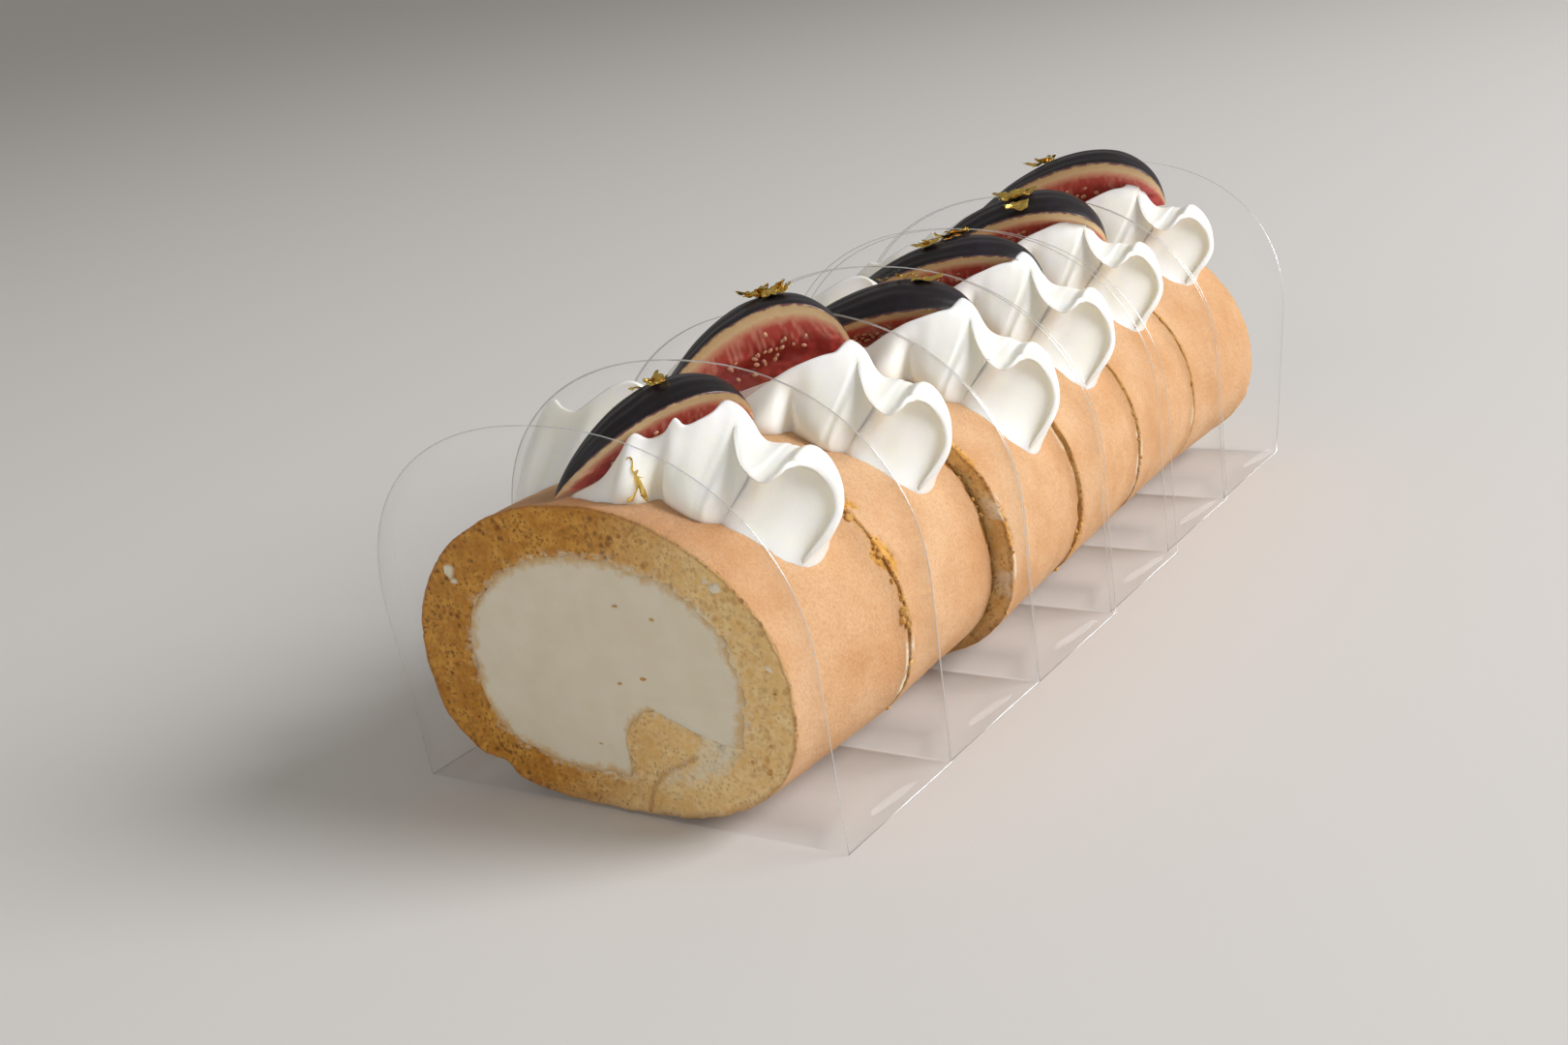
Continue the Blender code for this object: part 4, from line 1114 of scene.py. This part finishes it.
def makeGold():
    # each flake is a crumpled disc with an uneven edge, bent over the skin it lies on
    rng = np.random.default_rng(23)
    around, rings = goldLook["grid"]
    shapes = []
    for index, (s0, turn0, size, count) in enumerate(goldLook["spots"]):
        for flake in range(count):
            s = s0 + rng.normal(0, 0.045)
            tilt = math.radians(turn0 + rng.normal(0, 8))
            reach = size * rng.uniform(0.35, 1.0) / 2 * (1.25 if flake == 0 else 0.8)
            lift = rng.uniform(0.1, 0.9) + 0.25 * flake
            turn = fullTurn(around)
            out = np.linspace(0.02, 1, rings)
            out, turn = np.meshgrid(out, turn, indexing="ij")
            seedPoint = np.stack((np.cos(turn), np.sin(turn), np.full(turn.shape, 5.3 * index + flake)), -1)
            edge = 1 + 0.55 * layeredNoise(seedPoint, 0.8, 80, 2)
            u, v = reach * out * edge * np.cos(turn), reach * out * edge * np.sin(turn) * 0.7
            spot = np.stack((u, v, np.full(u.shape, 9.1 * flake + index)), -1)
            crumple = layeredNoise(spot, 1.5, 82, 3) * 0.75 + rng.uniform(0.0, 0.5) * np.abs(u) * out
            radius = figRadius(s) + 0.35 + lift * 0.5
            angle = tilt + v / radius
            height = radius + crumple
            top = np.stack((s * figLook["length"] + u, height * np.sin(angle), height * np.cos(angle)), -1)
            bottom = top - np.array((0, 0, goldLook["thickness"]))
            shapes.append(moveFig(index, leafSheet(top, bottom)))
    # the torn flake on the cream lies in its own small frame: across, up the wall, and out of it
    (x, y, z), (wide, tall) = goldLook["onCream"]
    turn = fullTurn(around)
    out, turn = np.meshgrid(np.linspace(0.02, 1, rings), turn, indexing="ij")
    edge = 1 + 0.95 * layeredNoise(np.stack((np.cos(turn), np.sin(turn), turn * 0 + 3.1), -1), 0.45, 88, 3)
    u = wide * out * edge * np.cos(turn) - 0.25 * tall * out * np.sin(turn)
    v = tall * out * edge * np.sin(turn)
    lift = 0.55 * layeredNoise(np.stack((u, v, u * 0), -1), 1.4, 89, 2) - 0.35
    top = np.stack((x + u * 0.9, y + u * 0.3 + v * 0.34 + lift * 0.9, z + v * 0.92 + lift * 0.35), -1)
    bottom = top + np.array((0, goldLook["thickness"], 0))
    shapes.append(sliceGrid(0, leafSheet(top, bottom)))
    points, quads, fans = joinCopies(shapes)
    piece = closedPiece("goldLeaf", points, quads, fans, (gold,))
    settle(piece, "fig")


makeGold()
print("gold leaf laid")


# ---- loose crumbs

crumbLook = {
    "atCuts": 90, "onFilling": 7, "size": (0.2, 0.6),     # size is a crumb's half-width in mm
    # larger bits hanging at the first inner cut: degrees round the roll, mm behind it, half-width
    "chunks": ((4, -0.6, 1.1), (2, -1.5, 0.8), (7, 0.1, 0.8), (0.5, -0.2, 0.7), (12, -0.8, 0.6),
               (31, -0.4, 0.7)),
    # angles round the roll where crumbs gather at the cuts, in degrees, and their spread
    "gather": ((18, 22), (-12, 14), (52, 16), (168, 12)),
}


def makeCrumbs():
    # uneven lumps: a ball pushed in and out by noise, one kind, at true size
    rng = np.random.default_rng(41)
    look = crumbLook
    ball = ballGrid(9, 7)
    shapes = []

    def lump(at, size):
        spot = ball * 0.9 + rng.uniform(-50, 50, 3)
        bumpy = ball * (1 + 0.55 * softNoise(spot, 0.8, 95))[..., None]
        bumpy[0], bumpy[-1] = bumpy[0].mean(0), bumpy[-1].mean(0)
        return at + bumpy * size * rng.uniform(0.6, 1.2, 3)

    for _ in range(look["atCuts"]):
        index = rng.integers(0, sliceCount)
        centre, width = look["gather"][rng.integers(0, len(look["gather"]))]
        angle = math.radians(centre + rng.normal(0, width))
        size = rng.uniform(*look["size"])
        x, z = rollOutline(np.array(angle), -0.35 * size)
        depth = sliceDepth(index)
        y = 0.1 * size if rng.random() < 0.5 else depth - 0.1 * size
        if index == 0 and y < 1 or index == sliceCount - 1 and y > 1:
            x, z = rollOutline(np.array(angle), -rng.uniform(0.3, 8.0))
        if z > 2:
            place = lump(np.array((float(x), y, float(z))), size)
            shapes.append(sliceGrid(index, place))
    for degrees, along, size in look["chunks"]:
        x, z = rollOutline(np.array(math.radians(degrees)), 0.1)
        place = lump(np.array((float(x), sliceDepth(0) + along, float(z))), size)
        shapes.append(sliceGrid(0, place))
    for _ in range(look["onFilling"]):
        for index, y in ((0, -0.25), (sliceCount - 1, sliceDepth(-1) + 0.25)):
            angle, reach = rng.uniform(0, 2 * np.pi), rng.uniform(0.1, 0.85)
            x, z = fillingOutline(np.array(angle))
            x = rollShape["fillCentre"] + (float(x) - rollShape["fillCentre"]) * reach
            z = rollShape["fillMiddle"] + (float(z) - rollShape["fillMiddle"]) * reach
            flat = np.array((rng.uniform(0.8, 1.6), 0.5, 0.6)) * 0.5
            shapes.append(sliceGrid(index, np.array((x, y, z)) + lump(np.zeros(3), 1.0) * flat))
    points, quads, fans = joinCopies(shapes)
    count = len(points)
    attributes = {"crumb": np.ones(count), "edge": np.full(count, 6.0), "seam": np.zeros(count),
                  "brown": np.zeros(count), "pale": np.full(count, 0.35)}
    piece = closedPiece("spongeCrumbs", points, quads, fans, (sponge,), attributes)
    settle(piece, "sponge")


makeCrumbs()
print("crumbs scattered")


# ---- clear films

filmLook = {
    "thickness": 0.12, "edge": 0.11, "clearance": 0.35,    # mm; the last is between film and cut
    "across": 11, "archSteps": 26, "sideSteps": 7,
    "sideShare": 0.468, "roundness": 2.2, "waist": 0.988,
    "fold": 3.0,                                       # mm over which the wall turns at the base
}


def readFilm(index):
    # a film's base rectangle and the lean of its two arches, from its node's box and its slice
    low, high = (np.array(corner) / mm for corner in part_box(f"film_{index + 1}"))
    one = slices[index]
    front, back = one["front"] - filmLook["clearance"], one["back"] + filmLook["clearance"]
    lean = [0.0, 0.0]
    height = high[2] - low[2]
    if index == 0:
        lean[0] = math.asin((front - low[1]) / height)
    if index == sliceCount - 1:
        lean[1] = math.asin((high[1] - back) / height)
    return front, back, (low[0] + high[0]) / 2, (high[0] - low[0]) / 2, height, lean


def makeFilm(index):
    # a flat-sided profile of half-width against height, carried down the front arch, along the
    # base and up the back arch, with a thin wall
    look = filmLook
    front, back, middle, halfWidth, height, lean = readFilm(index)
    turn = np.linspace(0, np.pi / 2, look["archSteps"])[:-1]
    sideTop = look["sideShare"] * height
    rise = sideTop + (height - sideTop) * np.sin(turn) ** (2 / look["roundness"])
    wide = halfWidth * np.cos(turn) ** (2 / look["roundness"])
    side = np.linspace(0, 1, look["sideSteps"] + 1)[:-1]
    up = np.concatenate((side * sideTop, rise, [height]))
    half = np.concatenate((halfWidth * (look["waist"] + (1 - look["waist"]) * side), wide, [0.0]))
    frontY = front - np.sin(lean[0]) * up
    backY = back + np.sin(lean[1]) * up
    pathY = np.concatenate((frontY[::-1], backY))
    pathZ = np.concatenate((up[::-1] * np.cos(lean[0]), up * np.cos(lean[1])))
    pathW = np.concatenate((half[::-1], half))
    leaning = np.concatenate((np.full(len(up), -1.0), np.ones(len(up))))
    across = np.linspace(-1, 1, look["across"])
    w, c = np.meshgrid(pathW, across, indexing="ij")
    yy = np.repeat(pathY[:, None], len(across), 1)
    zz = np.repeat(pathZ[:, None], len(across), 1)
    standing = leaning * np.where(pathZ > look["fold"], 1, pathZ / look["fold"])
    standing = np.repeat(standing[:, None], len(across), 1)
    outer = np.stack((middle + w * c, yy, zz), -1)
    inset = np.stack((np.zeros(w.shape), -standing * look["thickness"],
                      np.full(w.shape, look["thickness"]) * (1 - np.abs(standing))), -1)
    inner = outer + inset
    loop = np.concatenate((outer, inner[:, ::-1]), axis=1)
    points, quads, fans = polesFor(loop * mm)
    piece = closedPiece(f"clearFilm{index + 1}", points, quads, fans, (film,))
    settle(piece, "clear_film", f"film_{index + 1}")
    return outer * mm


def tubeAlong(path, radius, sides=6):
    # six-sided section carried along a path in metres, closed at both ends
    ahead = np.gradient(path, axis=0)
    ahead = ahead / (np.linalg.norm(ahead, axis=1, keepdims=True) + 1e-12)
    side = np.cross(ahead, np.array((0.31, 0.22, 0.92)))    # no stretch of the path runs this way
    side = side / (np.linalg.norm(side, axis=1, keepdims=True) + 1e-12)
    up = np.cross(side, ahead)
    turn = fullTurn(sides)
    ring = side[:, None] * np.cos(turn)[None, :, None] + up[:, None] * np.sin(turn)[None, :, None]
    tube = path[:, None] + ring * radius
    first, last = path[:1, None].repeat(sides, 1), path[-1:, None].repeat(sides, 1)
    return np.concatenate((first, tube, last))


def makeFilms():
    edges = []
    for index in range(sliceCount):
        outer = makeFilm(index)
        for column in (0, -1):
            path = outer[:, column].copy()
            path[:, 2] = np.maximum(path[:, 2], filmLook["edge"] * mm)
            edges.append(tubeAlong(path, filmLook["edge"] * mm))
    points, quads, fans = joinCopies(edges)
    piece = closedPiece("filmEdges", points, quads, fans, (filmEdge,))
    settle(piece, "clear_film")


makeFilms()
print("films folded")


# ---- last lines

print("scene built")
